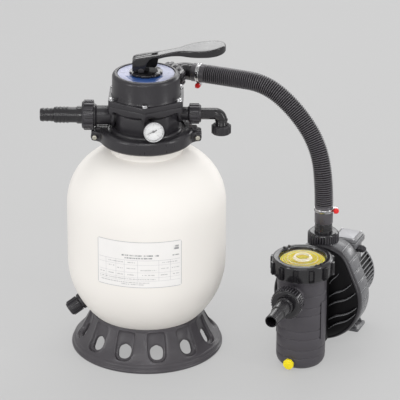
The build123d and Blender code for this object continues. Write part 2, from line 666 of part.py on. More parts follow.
# ---------------------------------------------------------------- pump strainer
POT_AXIS = (POT_X, POT_Y, 0)
GROOVES = (30, 52, 86, 109, 152, 174, 204)
with BuildPart() as strainer_pot:
    outline = [(0, 0), (0, 42), (1.4, 48), (5, 53.6), (11, 58.4), (18, 61), (25, POT_R)]
    for groove in GROOVES:
        outline += [
            (groove - 1.4, POT_R), (groove - 1.0, POT_R - 1),
            (groove + 1.0, POT_R - 1), (groove + 1.4, POT_R),
        ]
    outline += [(238, POT_R), (240, 66), (POT_RIM_Z, 66), (POT_RIM_Z, 57.8), (20, 56.5), (9, 49), (6, 42), (6, 0)]
    spun(POT_AXIS, UP, outline)
    block(Plane(origin=pump_point(50, 0, 40), x_dir=BACK, z_dir=UP), 32, 90, 192)
    rod(across(pump_point(50, MOTOR_SIDE, MOTOR_Z), BACK), 38, 16)
    spun(SUCTION_AT, SUCTION_AXIS, [(-60, 0), (-60, 24), (-21, 24), (-17, 28), (0, 28), (0, 0)])
    plug_axis = (-math.sin(math.radians(28)), -math.cos(math.radians(28)), 0)
    plug_at = (POT_X, POT_Y, 20)
    rod(across(plug_at, plug_axis, 50), 11, 14)
    rod(Plane(origin=(POT_X, POT_Y, 20)), 56.5, 280, mode=Mode.SUBTRACT)
    rod(across(SUCTION_AT, SUCTION_AXIS, -70), HOSE_BORE_R, 80, mode=Mode.SUBTRACT)
    rod(across(pump_point(50, MOTOR_SIDE, MOTOR_Z), BACK, -5), 30, 30, mode=Mode.SUBTRACT)
    rod(across(plug_at, plug_axis, 50), 7, 20, mode=Mode.SUBTRACT)
strainer_pot.part.label = "Strainer pot"
export_step(strainer_pot.part, "parts/strainer_pot.step")

with BuildPart() as lid_ring:
    spun(
        POT_AXIS,
        UP,
        [
            (250, 66.4), (282.3, 66.4), (282.3, 57.6), (288, 57.6), (288, 72), (284, 76),
            (250, 76),
        ],
    )
    for number in range(12):
        angle = math.radians(number * 30 + 15)
        outward = (math.cos(angle), math.sin(angle), 0)
        block(across((POT_X, POT_Y, 267), outward, 74, x_dir=UP), 32, 13, 6.5)
        block(across((POT_X, POT_Y, 264), outward, 77.5, x_dir=UP), 28, 7, 6, mode=Mode.SUBTRACT)
lid_ring.part.label = "Lid ring nut"
export_step(lid_ring.part, "parts/lid_ring.step")

with BuildPart() as strainer_lid:
    spun(
        POT_AXIS,
        UP,
        [
            (276, 0), (276, 50), (270, 50), (270, 57.2), (276, 57.2), (276, 64), (282, 64),
            (282, 57), (286, 56), (286, 16), (292, 14), (292, 0),
        ],
    )
strainer_lid.part.label = "Clear strainer lid"
export_step(strainer_lid.part, "parts/strainer_lid.step")

with BuildPart() as strainer_basket:
    spun(
        POT_AXIS,
        UP,
        [
            (110, 0), (110, 42), (266, 50), (266, 55), (269.5, 55), (269.5, 47.5), (113, 39.5),
            (113, 0),
        ],
    )
    for row in range(5):
        for number in range(8):
            angle = math.radians(number * 45 + SKEW)
            outward = (math.cos(angle), math.sin(angle), 0)
            block(across((POT_X, POT_Y, 130 + row * 22), outward, 30, x_dir=UP), 12, 18, 30, mode=Mode.SUBTRACT)
strainer_basket.part.label = "Strainer basket"
export_step(strainer_basket.part, "parts/strainer_basket.step")

with BuildPart() as suction_nut:
    union_nut(SUCTION_AT, SUCTION_AXIS, PUMP_NUT_R, UNION_STUB_R, UNION_TAIL_R, 36, half=16.5)
suction_nut.part.label = "Suction union nut"
export_step(suction_nut.part, "parts/suction_nut.step")

with BuildPart() as suction_tail:
    spun(
        SUCTION_AT,
        SUCTION_AXIS,
        tail_outline(28, 22, 13, [(24, 22), (68, 19), (116, 16)]),
    )
suction_tail.part.label = "Suction hose tail"
export_step(suction_tail.part, "parts/suction_tail.step")

with BuildPart() as pump_drain_plug:
    rod(across(plug_at, plug_axis, 52), 6.7, 12.3)
    with BuildSketch(across(plug_at, plug_axis, 64.3)) as head:
        RegularPolygon(14, 8)
    extrude(head.sketch, amount=9)
pump_drain_plug.part.label = "Pump drain plug"
export_step(pump_drain_plug.part, "parts/pump_drain_plug.step")

# ---------------------------------------------------------------- pump wet end and motor
SHAFT_AT = pump_point(0, MOTOR_SIDE, MOTOR_Z)

with BuildPart() as pump_housing:
    spun(
        SHAFT_AT,
        BACK,
        [
            (66, 30), (66, 62), (70, 82), (78, 99), (90, 110), (98, HOUSING_R), (150, HOUSING_R),
            (150, 105), (104, 105), (94, 103), (84, 93), (77, 78), (74, 60), (74, 30),
        ],
    )
    spun(DISCHARGE_TOP, UP, [(-60, 0), (-60, 24), (-22, 24), (-18, 28), (0, 28), (0, 0)])
    spun(SHAFT_AT, BACK, [(100, 0), (100, 105), (149, 105), (149, 0)], mode=Mode.SUBTRACT)
    rod(across(DISCHARGE_TOP, UP, -75), 16, 80, mode=Mode.SUBTRACT)
pump_housing.part.label = "Pump volute housing"
export_step(pump_housing.part, "parts/pump_housing.step")

with BuildPart() as impeller:
    spun(SHAFT_AT, BACK, [(108, 8), (108, 14), (132, 14), (132, 58), (136, 58), (136, 14), (143, 14), (143, 8)])
    ribs(across(SHAFT_AT, BACK, 116), 35, 44, 3, 6, 17)
impeller.part.label = "Impeller"
export_step(impeller.part, "parts/impeller.step")

with BuildPart() as shaft_seal:
    spun(SHAFT_AT, BACK, [(143, 8), (143, 13), (146, 13), (146, 16), (150, 16), (150, 8)])
shaft_seal.part.label = "Shaft seal head"
export_step(shaft_seal.part, "parts/shaft_seal.step")

with BuildPart() as motor_bracket:
    spun(
        SHAFT_AT,
        BACK,
        [
            (92, HOUSING_R), (92, 115), (98, SHROUD_R), (158, SHROUD_R), (168, 113), (168, MOTOR_R),
            (158, MOTOR_R), (158, 30), (172, 30), (172, 20), (162, 20), (162, 9), (150, 9),
            (150, HOUSING_R), (98, HOUSING_R),
        ],
    )
    rod(across(DISCHARGE_TOP, UP, -80), 29, 100, mode=Mode.SUBTRACT)
motor_bracket.part.label = "Motor bracket and shroud"
export_step(motor_bracket.part, "parts/motor_bracket.step")

with BuildPart() as motor_housing:
    spun(
        SHAFT_AT,
        BACK,
        [
            (158, 83), (158, MOTOR_R), (272, MOTOR_R), (272, 20), (262, 20), (262, 70), (258, 83),
        ],
    )
    spun(SHAFT_AT, BACK, [(256, 24), (256, 72), (262, 72), (262, 24)], mode=Mode.SUBTRACT)
motor_housing.part.label = "Motor housing"
export_step(motor_housing.part, "parts/motor_housing.step")

with BuildPart() as stator:
    spun(SHAFT_AT, BACK, [(188, 55), (188, 83), (244, 83), (244, 55)])
    spun(SHAFT_AT, BACK, [(178, 58), (178, 76), (188, 76), (188, 58)])
    spun(SHAFT_AT, BACK, [(244, 58), (244, 76), (254, 76), (254, 58)])
stator.part.label = "Stator with windings"
export_step(stator.part, "parts/stator.step")

with BuildPart() as rotor_core:
    spun(SHAFT_AT, BACK, [(188, 8), (188, 54), (244, 54), (244, 8)])
rotor_core.part.label = "Motor rotor core"
export_step(rotor_core.part, "parts/rotor_core.step")

with BuildPart() as motor_shaft:
    spun(SHAFT_AT, BACK, [(108, 0), (108, 8), (290, 8), (290, 0)])
motor_shaft.part.label = "Motor shaft"
export_step(motor_shaft.part, "parts/motor_shaft.step")

with BuildPart() as bearings:
    for start in (162, 262):
        spun(SHAFT_AT, BACK, [(start, 8.3), (start, 20), (start + 10, 20), (start + 10, 8.3)])
bearings.part.label = "Motor bearings"
export_step(bearings.part, "parts/bearings.step")

with BuildPart() as fan:
    spun(SHAFT_AT, BACK, [(276, 8), (276, 16), (288, 16), (288, 8)])
    spun(SHAFT_AT, BACK, [(276, 14), (276, 70), (278, 70), (278, 14)])
    ribs(across(SHAFT_AT, BACK, 277), 42, 54, 2.4, 9, 11)
fan.part.label = "Cooling fan"
export_step(fan.part, "parts/fan.step")

with BuildPart() as fan_cowl:
    spun(
        SHAFT_AT,
        BACK,
        [
            (272, 84), (272, MOTOR_R), (290, MOTOR_R), (298, 83), (302, 72), (302, 0), (299, 0),
            (299, 70), (295, 80), (289, 84),
        ],
    )
    for pitch_r, count in ((18, 6), (34, 10), (50, 16)):
        ribs(across(SHAFT_AT, BACK, 296), pitch_r, 10, 4, count, 10, mode=Mode.SUBTRACT)
fan_cowl.part.label = "Fan cowl"
export_step(fan_cowl.part, "parts/fan_cowl.step")

BOX_AT = pump_point(211.5, MOTOR_SIDE + 37.5, 190)
with BuildPart() as terminal_box:
    block(Plane(origin=BOX_AT, x_dir=BACK, z_dir=UP), 73, 65, 74)
    block(Plane(origin=along(BOX_AT, UP, 34), x_dir=BACK, z_dir=UP), 67, 59, 50, mode=Mode.SUBTRACT)
    rod(across(SHAFT_AT, BACK, 150), MOTOR_R, 140, mode=Mode.SUBTRACT)
    rod(across(pump_point(198, MOTOR_SIDE + 60, 238), RIGHT), 6, 20, mode=Mode.SUBTRACT)
terminal_box.part.label = "Terminal box"
export_step(terminal_box.part, "parts/terminal_box.step")

with BuildPart() as terminal_lid:
    block(Plane(origin=along(BOX_AT, UP, 74), x_dir=BACK, z_dir=UP), 73, 65, 9)
    fillet(terminal_lid.edges().filter_by(Axis.Z), 6)
    chamfer(terminal_lid.faces().sort_by(Axis.Z)[-1].edges(), 3)
terminal_lid.part.label = "Terminal box lid"
export_step(terminal_lid.part, "parts/terminal_lid.step")

with BuildPart() as cable_gland:
    spun(
        pump_point(198, MOTOR_SIDE, 238),
        RIGHT,
        [(66, 3.5), (66, 6), (70, 6), (70, 9), (76, 9), (76, 8), (88, 8), (92, 5), (92, 3.5)],
    )
cable_gland.part.label = "Cable gland"
export_step(cable_gland.part, "parts/cable_gland.step")

FOOT_BACK = 240.0
with BuildPart() as motor_foot:
    block(Plane(origin=pump_point(FOOT_BACK, MOTOR_SIDE, 0), x_dir=BACK, z_dir=UP), 60, 132, 8)
    for side in (-1, 1):
        web_at = pump_point(FOOT_BACK, MOTOR_SIDE + side * 34, 6)
        block(Plane(origin=web_at, x_dir=BACK, z_dir=UP), 50, 12, 75)
    rod(across(SHAFT_AT, BACK, 150), MOTOR_R, 140, mode=Mode.SUBTRACT)
    for side in (-1, 1):
        hole_at = pump_point(FOOT_BACK, MOTOR_SIDE + side * 53, -1)
        rod(Plane(origin=hole_at, z_dir=UP), 4.5, 20, mode=Mode.SUBTRACT)
motor_foot.part.label = "Motor foot"
export_step(motor_foot.part, "parts/motor_foot.step")
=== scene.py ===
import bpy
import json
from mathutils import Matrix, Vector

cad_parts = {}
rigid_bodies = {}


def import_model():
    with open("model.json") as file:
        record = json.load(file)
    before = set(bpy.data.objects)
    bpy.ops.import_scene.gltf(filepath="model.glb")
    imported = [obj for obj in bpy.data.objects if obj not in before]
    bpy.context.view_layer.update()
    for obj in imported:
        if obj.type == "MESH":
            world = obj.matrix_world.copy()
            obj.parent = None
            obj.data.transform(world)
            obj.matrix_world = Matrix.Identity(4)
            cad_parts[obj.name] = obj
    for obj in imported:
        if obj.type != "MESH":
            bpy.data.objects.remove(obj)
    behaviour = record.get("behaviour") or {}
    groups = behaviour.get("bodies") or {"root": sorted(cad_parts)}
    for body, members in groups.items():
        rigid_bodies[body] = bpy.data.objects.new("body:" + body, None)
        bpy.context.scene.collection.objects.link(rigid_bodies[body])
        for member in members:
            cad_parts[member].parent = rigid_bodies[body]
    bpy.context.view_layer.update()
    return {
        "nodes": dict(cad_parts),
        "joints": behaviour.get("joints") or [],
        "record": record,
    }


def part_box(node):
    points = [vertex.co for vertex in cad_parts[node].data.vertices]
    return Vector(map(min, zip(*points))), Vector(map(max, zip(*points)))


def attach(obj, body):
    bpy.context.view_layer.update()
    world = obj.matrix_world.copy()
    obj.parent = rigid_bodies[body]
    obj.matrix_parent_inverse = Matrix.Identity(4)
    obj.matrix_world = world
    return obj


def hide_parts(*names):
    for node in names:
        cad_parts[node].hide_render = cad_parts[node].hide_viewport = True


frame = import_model()

import json
import math

import bmesh
import bpy
from mathutils import Matrix, Vector

bl_info = {
    "name": "Sand filter and pool pump",
    "version": (1, 0, 0),
    "blender": (4, 5, 0),
    "location": "3D View > Sidebar > Filter set",
    "description": "Builds the finished pieces of a sand filter and pump set round its frame",
    "category": "Object",
}

# ---------------------------------------------------------------- places, all read from the frame
# Outlines are in millimetres, as on a drawing. Objects and positions are in metres.
MM = 0.001
UP = Vector((0, 0, 1))
EAST = Vector((1, 0, 0))
UPRIGHT = Matrix.Rotation(math.pi / 2, 4, "X")
BODY_OF = {
    node: body
    for body, nodes in frame["record"]["behaviour"]["bodies"].items()
    for node in nodes
}
JOINTS = {joint["name"]: joint for joint in frame["joints"]}


def pivot(joint):
    return Vector(JOINTS[joint]["pos_m"])


def axis(joint):
    return Vector(JOINTS[joint]["axis"])


def stand_on(origin, direction, side=None):
    """Matrix that puts a shape's own origin on a point, +Z along a direction and +X to a side."""
    up = Vector(direction).normalized()
    across = up.orthogonal() if side is None else Vector(side)
    across = (across - up * across.dot(up)).normalized()
    turned = Matrix((across, up.cross(across), up)).transposed().to_4x4()
    return Matrix.Translation(origin) @ turned


def on_joint(joint, side=None):
    return stand_on(pivot(joint), axis(joint), side)


def at(x=0.0, y=0.0, z=0.0):
    """Matrix that moves a shape by millimetres."""
    return Matrix.Translation(Vector((x, y, z)) * MM)


def spin_z(degrees):
    return Matrix.Rotation(math.radians(degrees), 4, "Z")


GAUGE = stand_on(pivot("gauge_needle_turn"), -axis("gauge_needle_turn"), side=-UP)
RETURN = on_joint("return_nut_turn")
WASTE = on_joint("waste_nut_turn")
PORT = on_joint("port_nut_turn", side=-UP)
SUCTION = on_joint("suction_nut_turn")
DISCHARGE = stand_on(pivot("discharge_nut_turn"), UP)
DRAIN = on_joint("drain_cap_turn")
PLUG = on_joint("pump_drain_plug_turn", side=UP)
BACK = axis("pump_rotor_spin")
RIGHT = Vector((BACK.y, -BACK.x, 0))
SHAFT = stand_on(pivot("pump_rotor_spin"), BACK, side=UP)
POT = stand_on(pivot("lid_ring_turn") * Vector((1, 1, 0)), UP, side=RIGHT)
SHAFT_SIDE = (pivot("pump_rotor_spin") - pivot("lid_ring_turn")).dot(RIGHT) / MM


# ---------------------------------------------------------------- outlines
def circle_points(radius, first, last, steps, centre=(0, 0)):
    """Points on an arc, in degrees, both ends included."""
    turns = [math.radians(first + (last - first) * i / steps) for i in range(steps + 1)]
    return [(centre[0] + radius * math.cos(t), centre[1] + radius * math.sin(t)) for t in turns]


def rounded_polygon(count, inradius, corner, turn=0.0, steps=5):
    """Outline of a regular polygon with round corners, the first corner at a turn in degrees."""
    reach = (inradius - corner) / math.cos(math.pi / count)
    points = []
    for number in range(count):
        heading = turn + number * 360 / count
        angle = math.radians(heading)
        middle = (reach * math.cos(angle), reach * math.sin(angle))
        half = 180 / count
        points += circle_points(corner, heading - half, heading + half, steps, middle)
    return points


def rounded_rectangle(width, depth, corner, steps=4):
    points = []
    for sign_x, sign_y, first in ((1, 1, 0), (-1, 1, 90), (-1, -1, 180), (1, -1, 270)):
        middle = (sign_x * (width / 2 - corner), sign_y * (depth / 2 - corner))
        points += circle_points(corner, first, first + 90, steps, middle)
    return points


def tube(low, high, radius, bore=0, top=None):
    """(along, radius) outline of a plain bar or tube, with a narrower top where one is given."""
    return [(low, bore), (low, radius), (high, radius if top is None else top), (high, bore)]


def flare(start, shoulder, end, wide, narrow, bore):
    """Outline of a collar that is wide up to its shoulder and slopes down to its end."""
    return [(start, bore), (start, wide), (shoulder, wide), (end, narrow), (end, bore)]


def union_stub(length, slope_start, slope_end, pipe, bore, flange=28):
    """Outline of a pipe that ends at its union's face, on the origin, in a wider flange."""
    return [
        (-length, bore), (-length, pipe), (-slope_start, pipe), (-slope_end, flange),
        (0, flange), (0, bore),
    ]


def union_tail(*steps, bore=13, flange=28, pipe=22):
    """Outline of a tail from the flange behind its nut through the steps of its pipe."""
    return [(2, bore), (2, flange), (7, flange), (7, pipe), *steps]


# ---------------------------------------------------------------- shapes
def round_edges(shape, width, segments=2, angle=28.0):
    """Rounds every edge that turns more than an angle in degrees."""
    sharp = math.radians(angle)
    edges = [edge for edge in shape.edges if edge.is_manifold and edge.calc_face_angle(0) > sharp]
    bmesh.ops.bevel(
        shape, geom=edges, offset=width * MM, offset_type="OFFSET", segments=segments,
        profile=0.5, affect="EDGES", clamp_overlap=True, material=-1,
    )
    return shape


def lathe(outline, steps=64, width=0.0, segments=2, first=0.0, last=360.0):
    """Turns a closed (along the axis, radius) outline round +Z and rounds its edges."""
    shape = bmesh.new()
    corners = [shape.verts.new((radius * MM, 0, along * MM)) for along, radius in outline]
    bmesh.ops.rotate(
        shape, verts=corners, cent=(0, 0, 0), matrix=Matrix.Rotation(math.radians(first), 3, "Z")
    )
    sides = []
    for (_, radius_a), (_, radius_b), a, b in zip(
        outline, outline[1:] + outline[:1], corners, corners[1:] + corners[:1]
    ):
        if radius_a > 0 or radius_b > 0:
            sides.append(shape.edges.new((a, b)))
    whole = last - first >= 360
    bmesh.ops.spin(
        shape, geom=corners + sides, cent=(0, 0, 0), axis=(0, 0, 1),
        angle=math.radians(last - first), steps=steps, use_merge=whole, use_duplicate=False,
    )
    bmesh.ops.remove_doubles(shape, verts=shape.verts, dist=1e-6)
    if not whole:
        ends = [edge for edge in shape.edges if edge.is_boundary]
        bmesh.ops.holes_fill(shape, edges=ends, sides=0)
    bmesh.ops.recalc_face_normals(shape, faces=shape.faces)
    return round_edges(shape, width, segments) if width else shape


def closed_loop(shape, points):
    """Edges round a loop of points in millimetres."""
    corners = [shape.verts.new(Vector(point) * MM) for point in points]
    return [shape.edges.new(pair) for pair in zip(corners, corners[1:] + corners[:1])]


def raised(shape, height, taper=1.0):
    """Extrudes a flat shape upwards, narrowing its top by a factor."""
    geometry = bmesh.ops.extrude_face_region(shape, geom=shape.faces[:])["geom"]
    top = [item for item in geometry if isinstance(item, bmesh.types.BMVert)]
    bmesh.ops.translate(shape, verts=top, vec=(0, 0, height * MM))
    bmesh.ops.scale(shape, verts=top, vec=(taper, taper, 1))
    bmesh.ops.recalc_face_normals(shape, faces=shape.faces)
    return shape


def prism(outline, low, high, width=0.0, segments=2, taper=1.0):
    """Raises an (x, y) outline from one height to another and rounds its edges."""
    shape = bmesh.new()
    shape.faces.new([shape.verts.new((x * MM, y * MM, low * MM)) for x, y in outline])
    raised(shape, high - low, taper)
    return round_edges(shape, width, segments) if width else shape


def bored_prism(outline, low, high, bore, width):
    """Raises an (x, y) outline that has a round hole, its edges rounded."""
    shape = bmesh.new()
    rims = []
    for points in (outline, circle_points(bore, 0, 360, 72)[:-1]):
        rims += closed_loop(shape, [(x, y, low) for x, y in points])
    bmesh.ops.triangle_fill(shape, use_beauty=True, use_dissolve=False, edges=rims)
    return round_edges(raised(shape, high - low), width)


def brick(size_x, size_y, size_z, width=0.5, segments=2):
    """A rounded block centred on its origin, sizes in millimetres."""
    shape = bmesh.new()
    bmesh.ops.create_cube(shape, size=MM)
    bmesh.ops.scale(shape, verts=shape.verts, vec=(size_x, size_y, size_z))
    return round_edges(shape, width, segments)


def moved(shape, place):
    bmesh.ops.transform(shape, matrix=place, verts=shape.verts)
    return shape


def ring_of(shape, count, first=0.0):
    """Copies a shape evenly round +Z, the first copy turned by some degrees."""
    moved(shape, spin_z(first))
    everything = shape.verts[:] + shape.edges[:] + shape.faces[:]
    bmesh.ops.spin(
        shape, geom=everything, cent=(0, 0, 0), axis=(0, 0, 1), steps=count - 1,
        angle=math.tau * (count - 1) / count, use_duplicate=True,
    )
    return shape


def ribs(count, size, out, height, width=0.5, segments=2):
    """A ring of rounded blocks, each of a size, standing out from +Z at a height."""
    return ring_of(moved(brick(*size, width, segments), at(out, 0, height)), count)


def quarter_bend(radius, bore, bend, steps=14):
    """A pipe that leaves its origin along +Z and turns by 90 degrees towards +X."""
    shape = bmesh.new()
    rings = [
        bmesh.ops.create_circle(shape, cap_ends=False, radius=size * MM, segments=40)["verts"]
        for size in (radius, bore)
    ]
    bmesh.ops.bridge_loops(shape, edges=shape.edges)
    bmesh.ops.spin(
        shape, geom=rings[0] + rings[1] + shape.edges[:] + shape.faces[:],
        cent=(bend * MM, 0, 0), axis=(0, 1, 0), angle=math.pi / 2, steps=steps,
    )
    bmesh.ops.recalc_face_normals(shape, faces=shape.faces)
    return shape


def loft(sections):
    """Bridges a row of equal loops of points, in millimetres, and closes both ends."""
    shape = bmesh.new()
    loops = [closed_loop(shape, section) for section in sections]
    bmesh.ops.contextual_create(shape, geom=loops[0])
    bmesh.ops.contextual_create(shape, geom=loops[-1])
    for near, far in zip(loops, loops[1:]):
        bmesh.ops.bridge_loops(shape, edges=near + far)
    bmesh.ops.recalc_face_normals(shape, faces=shape.faces)
    return shape


def evaluated(data, levels=0):
    """The shape that Blender works out from a curve, a text, or a cage with its levels."""
    holder = bpy.data.objects.new("holder", data)
    bpy.context.scene.collection.objects.link(holder)
    if levels:
        modifier = holder.modifiers.new("Smooth", "SUBSURF")
        modifier.levels = modifier.render_levels = levels
    graph = bpy.context.evaluated_depsgraph_get()
    mesh = bpy.data.meshes.new_from_object(holder.evaluated_get(graph))
    shape = bmesh.new()
    shape.from_mesh(mesh)
    bpy.data.batch_remove((holder, data, mesh))
    return shape


def subdivided(shape):
    """The same shape after one level of subdivision smoothing."""
    cage = bpy.data.meshes.new("cage")
    shape.to_mesh(cage)
    shape.free()
    return evaluated(cage, levels=1)


def numerals(text, height):
    """Flat numerals centred on their origin and facing +Z."""
    curve = bpy.data.curves.new("numerals", "FONT")
    curve.body = text
    curve.size = height * MM
    curve.align_x = curve.align_y = "CENTER"
    curve.extrude = 0.05 * MM
    curve.resolution_u = 3
    shape = evaluated(curve)
    bmesh.ops.remove_doubles(shape, verts=shape.verts, dist=1e-7)
    return shape


class Piece:
    """One named piece, gathered from closed shapes, with the finish and place most of them have."""

    def __init__(self, name, finish, place=Matrix()):
        self.name = name
        self.finish = finish
        self.place = place
        self.mesh = bmesh.new()
        self.finishes = []

    def add(self, shape, finish=None, place=None):
        moved(shape, self.place if place is None else place)
        finish = finish or self.finish
        if finish not in self.finishes:
            self.finishes.append(finish)
        for face in shape.faces:
            face.material_index = self.finishes.index(finish)
        carrier = bpy.data.meshes.new("shape")
        shape.to_mesh(carrier)
        self.mesh.from_mesh(carrier)
        bpy.data.meshes.remove(carrier)
        shape.free()
        return self

    def turn(self, outline, steps, width=0.0, finish=None, place=None):
        """Adds an outline turned round the axis."""
        return self.add(lathe(outline, steps, width), finish, place)

    def done(self, *nodes, body=None, smooth=32.0):
        """Makes the object, rides it on the body of the node that it stands for, and hides that."""
        mesh = bpy.data.meshes.new(self.name)
        self.mesh.to_mesh(mesh)
        self.mesh.free()
        mesh.shade_smooth()
        mesh.set_sharp_from_angle(angle=math.radians(smooth))
        for finish in self.finishes:
            mesh.materials.append(material(finish))
        piece = bpy.data.objects.new(self.name, mesh)
        bpy.context.scene.collection.objects.link(piece)
        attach(piece, body or BODY_OF[nodes[0]])
        if nodes:
            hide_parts(*nodes)
        return piece


# ---------------------------------------------------------------- finishes
class Value:
    """A shader socket that Python's own operators combine through Math nodes."""

    def __init__(self, nodes, socket):
        self.nodes = nodes
        self.socket = socket

    def __add__(self, other):
        return self.nodes.maths("ADD", self, other)

    def __sub__(self, other):
        return self.nodes.maths("SUBTRACT", self, other)

    def __rsub__(self, other):
        return self.nodes.maths("SUBTRACT", other, self)

    def __mul__(self, other):
        return self.nodes.maths("MULTIPLY", self, other)

    def __truediv__(self, other):
        return self.nodes.maths("DIVIDE", self, other)

    def __gt__(self, other):
        return self.nodes.maths("GREATER_THAN", self, other)

    def __lt__(self, other):
        return self.nodes.maths("LESS_THAN", self, other)

    def __abs__(self):
        return self.nodes.maths("ABSOLUTE", self)

    __radd__ = __add__
    __rmul__ = __mul__


class Nodes:
    """A node tree and short ways to add to it."""

    def __init__(self, tree):
        self.tree = tree

    def feed(self, node, inputs):
        for key, value in inputs.items():
            matches = [s for s in node.inputs if key in (s.identifier, s.name)]
            socket = node.inputs[key] if isinstance(key, int) else matches[0]
            if isinstance(value, Value):
                self.tree.links.new(value.socket, socket)
            else:
                socket.default_value = value

    def node(self, kind, settings=None, inputs=None, output=0):
        """Adds a node: its settings first, then its sockets' values or links."""
        made = self.tree.nodes.new(kind)
        for key, value in (settings or {}).items():
            setattr(made, key, value)
        self.feed(made, inputs or {})
        return Value(self, made.outputs[output])

    def maths(self, operation, *values):
        return self.node("ShaderNodeMath", {"operation": operation}, dict(enumerate(values)))

    def clamped(self, value):
        return self.node("ShaderNodeClamp", inputs={"Value": value})

    def plainly_seen(self):
        """1 for what the camera sees directly, in a reflection or through clear plastic."""
        rays = [
            self.node("ShaderNodeLightPath", output=name)
            for name in ("Is Camera Ray", "Is Glossy Ray", "Is Transmission Ray")
        ]
        return self.clamped(rays[0] + rays[1] + rays[2])


class Finish(Nodes):
    """A procedural material and the nodes that it is made of."""

    def __init__(self, name, **shader):
        self.material = bpy.data.materials.new(name)
        self.material.use_nodes = True
        super().__init__(self.material.node_tree)
        self.shader = self.tree.nodes["Principled BSDF"]
        self.feed(self.shader, {key.replace("_", " "): value for key, value in shader.items()})

    def mix(self, share, first, second):
        """Goes from one colour to another as share goes from 0 to 1."""
        return self.node(
            "ShaderNodeMix", {"data_type": "RGBA"},
            {"Factor_Float": share, "A_Color": first, "B_Color": second}, output=2,
        )

    def where(self, stretch=(1, 1, 1), place=None):
        """The piece's own coordinates in metres, measured from a place."""
        inputs = {"Vector": self.node("ShaderNodeTexCoord", output=3), "Scale": stretch}
        if place is not None:
            back = place.inverted()
            inputs["Location"] = back.to_translation()
            inputs["Rotation"] = back.to_euler()
        return self.node("ShaderNodeMapping", {"vector_type": "POINT"}, inputs)

    def parts(self, vector):
        """The x, y and z of a vector."""
        first = self.node("ShaderNodeSeparateXYZ", None, {"Vector": vector})
        return [Value(self, socket) for socket in first.socket.node.outputs]

    def noise(self, size, detail=2.0, stretch=(1, 1, 1)):
        """Soft noise from 0 to 1 whose blobs are about a size in millimetres."""
        inputs = {"Vector": self.where(stretch), "Scale": 1 / (size * MM), "Detail": detail}
        return self.node("ShaderNodeTexNoise", None, inputs)

    def bump(self, height, depth):
        """Raises the surface by up to a depth in millimetres."""
        inputs = {"Strength": 1.0, "Distance": depth * MM, "Height": height}
        self.feed(self.shader, {"Normal": self.node("ShaderNodeBump", None, inputs)})

    def paint(self, colour, roughness):
        self.feed(self.shader, {"Base Color": colour, "Roughness": self.clamped(roughness)})
        return self.material


def grey(red, green, blue):
    """A linear colour from the usual 0 to 255 screen values."""
    linear = [((c / 255 + 0.055) / 1.055) ** 2.4 for c in (red, green, blue)]
    return (*linear, 1.0)


def shade(colour, factor):
    return (*[min(1.0, c * factor) for c in colour[:3]], 1.0)


def moulded(name, colour, roughness, mottle=0.15, grain=0.03, **shader):
    """Moulded plastic: a slow drift of tone, flow streaks, a fine cast grain and dull specks."""
    finish = Finish(name, **shader)
    drift = finish.noise(55, 3)
    streak = finish.noise(9, 3, stretch=(1, 1, 0.18))
    fine = finish.noise(0.9, 2)
    speck = finish.noise(2.6, 1) > 0.735
    tone = finish.mix(drift, shade(colour, 1 - mottle), shade(colour, 1 + mottle))
    finish.bump(fine + streak * 0.3, grain)
    return finish.paint(
        finish.mix(speck * 0.35, tone, shade(colour, 1.9)),
        roughness + (drift - 0.5) * 0.18 + (streak - 0.5) * 0.12 + speck * 0.12,
    )


def metal(name, colour, roughness):
    """Worn bright metal with fine brushing along one way."""
    finish = Finish(name, Metallic=1.0)
    brush = finish.noise(0.5, 2, stretch=(1, 1, 0.05))
    stain = finish.noise(7, 3)
    finish.bump(brush, 0.012)
    return finish.paint(
        finish.mix(stain, shade(colour, 0.82), shade(colour, 1.08)),
        roughness + (brush - 0.5) * 0.2 + (stain - 0.5) * 0.15,
    )


def clear_plastic(name, tint, roughness, cover):
    """Thin see-through plastic that covers a share of what is behind it, with dull smears."""
    finish = Finish(name, Base_Color=tint, Alpha=cover, Specular_IOR_Level=0.8)
    smear = finish.noise(16, 4)
    finish.feed(finish.shader, {"Roughness": finish.clamped(roughness + (smear - 0.55) * 0.08)})
    finish.bump(finish.noise(12, 2), 0.05)
    return finish.material


def tank_skin():
    """Satin off-white shell with a faint orange peel and a barely yellower lower half."""
    colour = palette().tank
    finish = Finish("tank_skin", Specular_IOR_Level=0.25)
    cloud = finish.noise(130, 3)
    scuff = finish.noise(14, 4, stretch=(1, 1, 0.3)) > 0.72
    height = finish.parts(finish.where())[2]
    warm = finish.clamped(1.0 - height / 0.42) * 0.35
    base = finish.mix(cloud, shade(colour, 0.985), shade(colour, 1.012))
    warmer = (colour[0] * 0.985, colour[1] * 0.972, colour[2] * 0.945, 1.0)
    base = finish.mix(warm, base, warmer)
    finish.bump(finish.noise(3.2, 2), 0.03)
    return finish.paint(
        finish.mix(scuff * 0.05, base, shade(colour, 0.8)),
        0.58 + (cloud - 0.5) * 0.1 + scuff * 0.08,
    )


def index_face():
    """Pale plate with a blue panel before the collar and thin spokes between the positions."""
    colours = palette()
    finish = Finish("index_face")
    x, y, _ = finish.parts(finish.where())
    radius = finish.maths("SQRT", x * x + y * y)
    turn = finish.maths("ARCTAN2", y, x)
    spoke = abs(finish.maths("SINE", turn * 3 + 0.05)) < 0.035
    spoke = spoke * (radius > 0.047) * (radius < 0.0695)
    rim = (radius > 0.0693) * (radius < 0.0702)
    panel = (radius < 0.0672) * (abs(x + 0.003) < 0.026 + (y + 0.065) * 0.5) * (y < -0.02)
    cloud = finish.noise(20, 3)
    base = finish.mix(cloud, shade(colours.index, 0.9), shade(colours.index, 1.06))
    base = finish.mix(panel, base, colours.index_ring)
    base = finish.mix(finish.clamped(spoke + rim) * 0.75, base, shade(colours.index, 0.35))
    finish.bump(finish.noise(0.8), 0.01)
    return finish.paint(base, 0.3 + (cloud - 0.5) * 0.1)


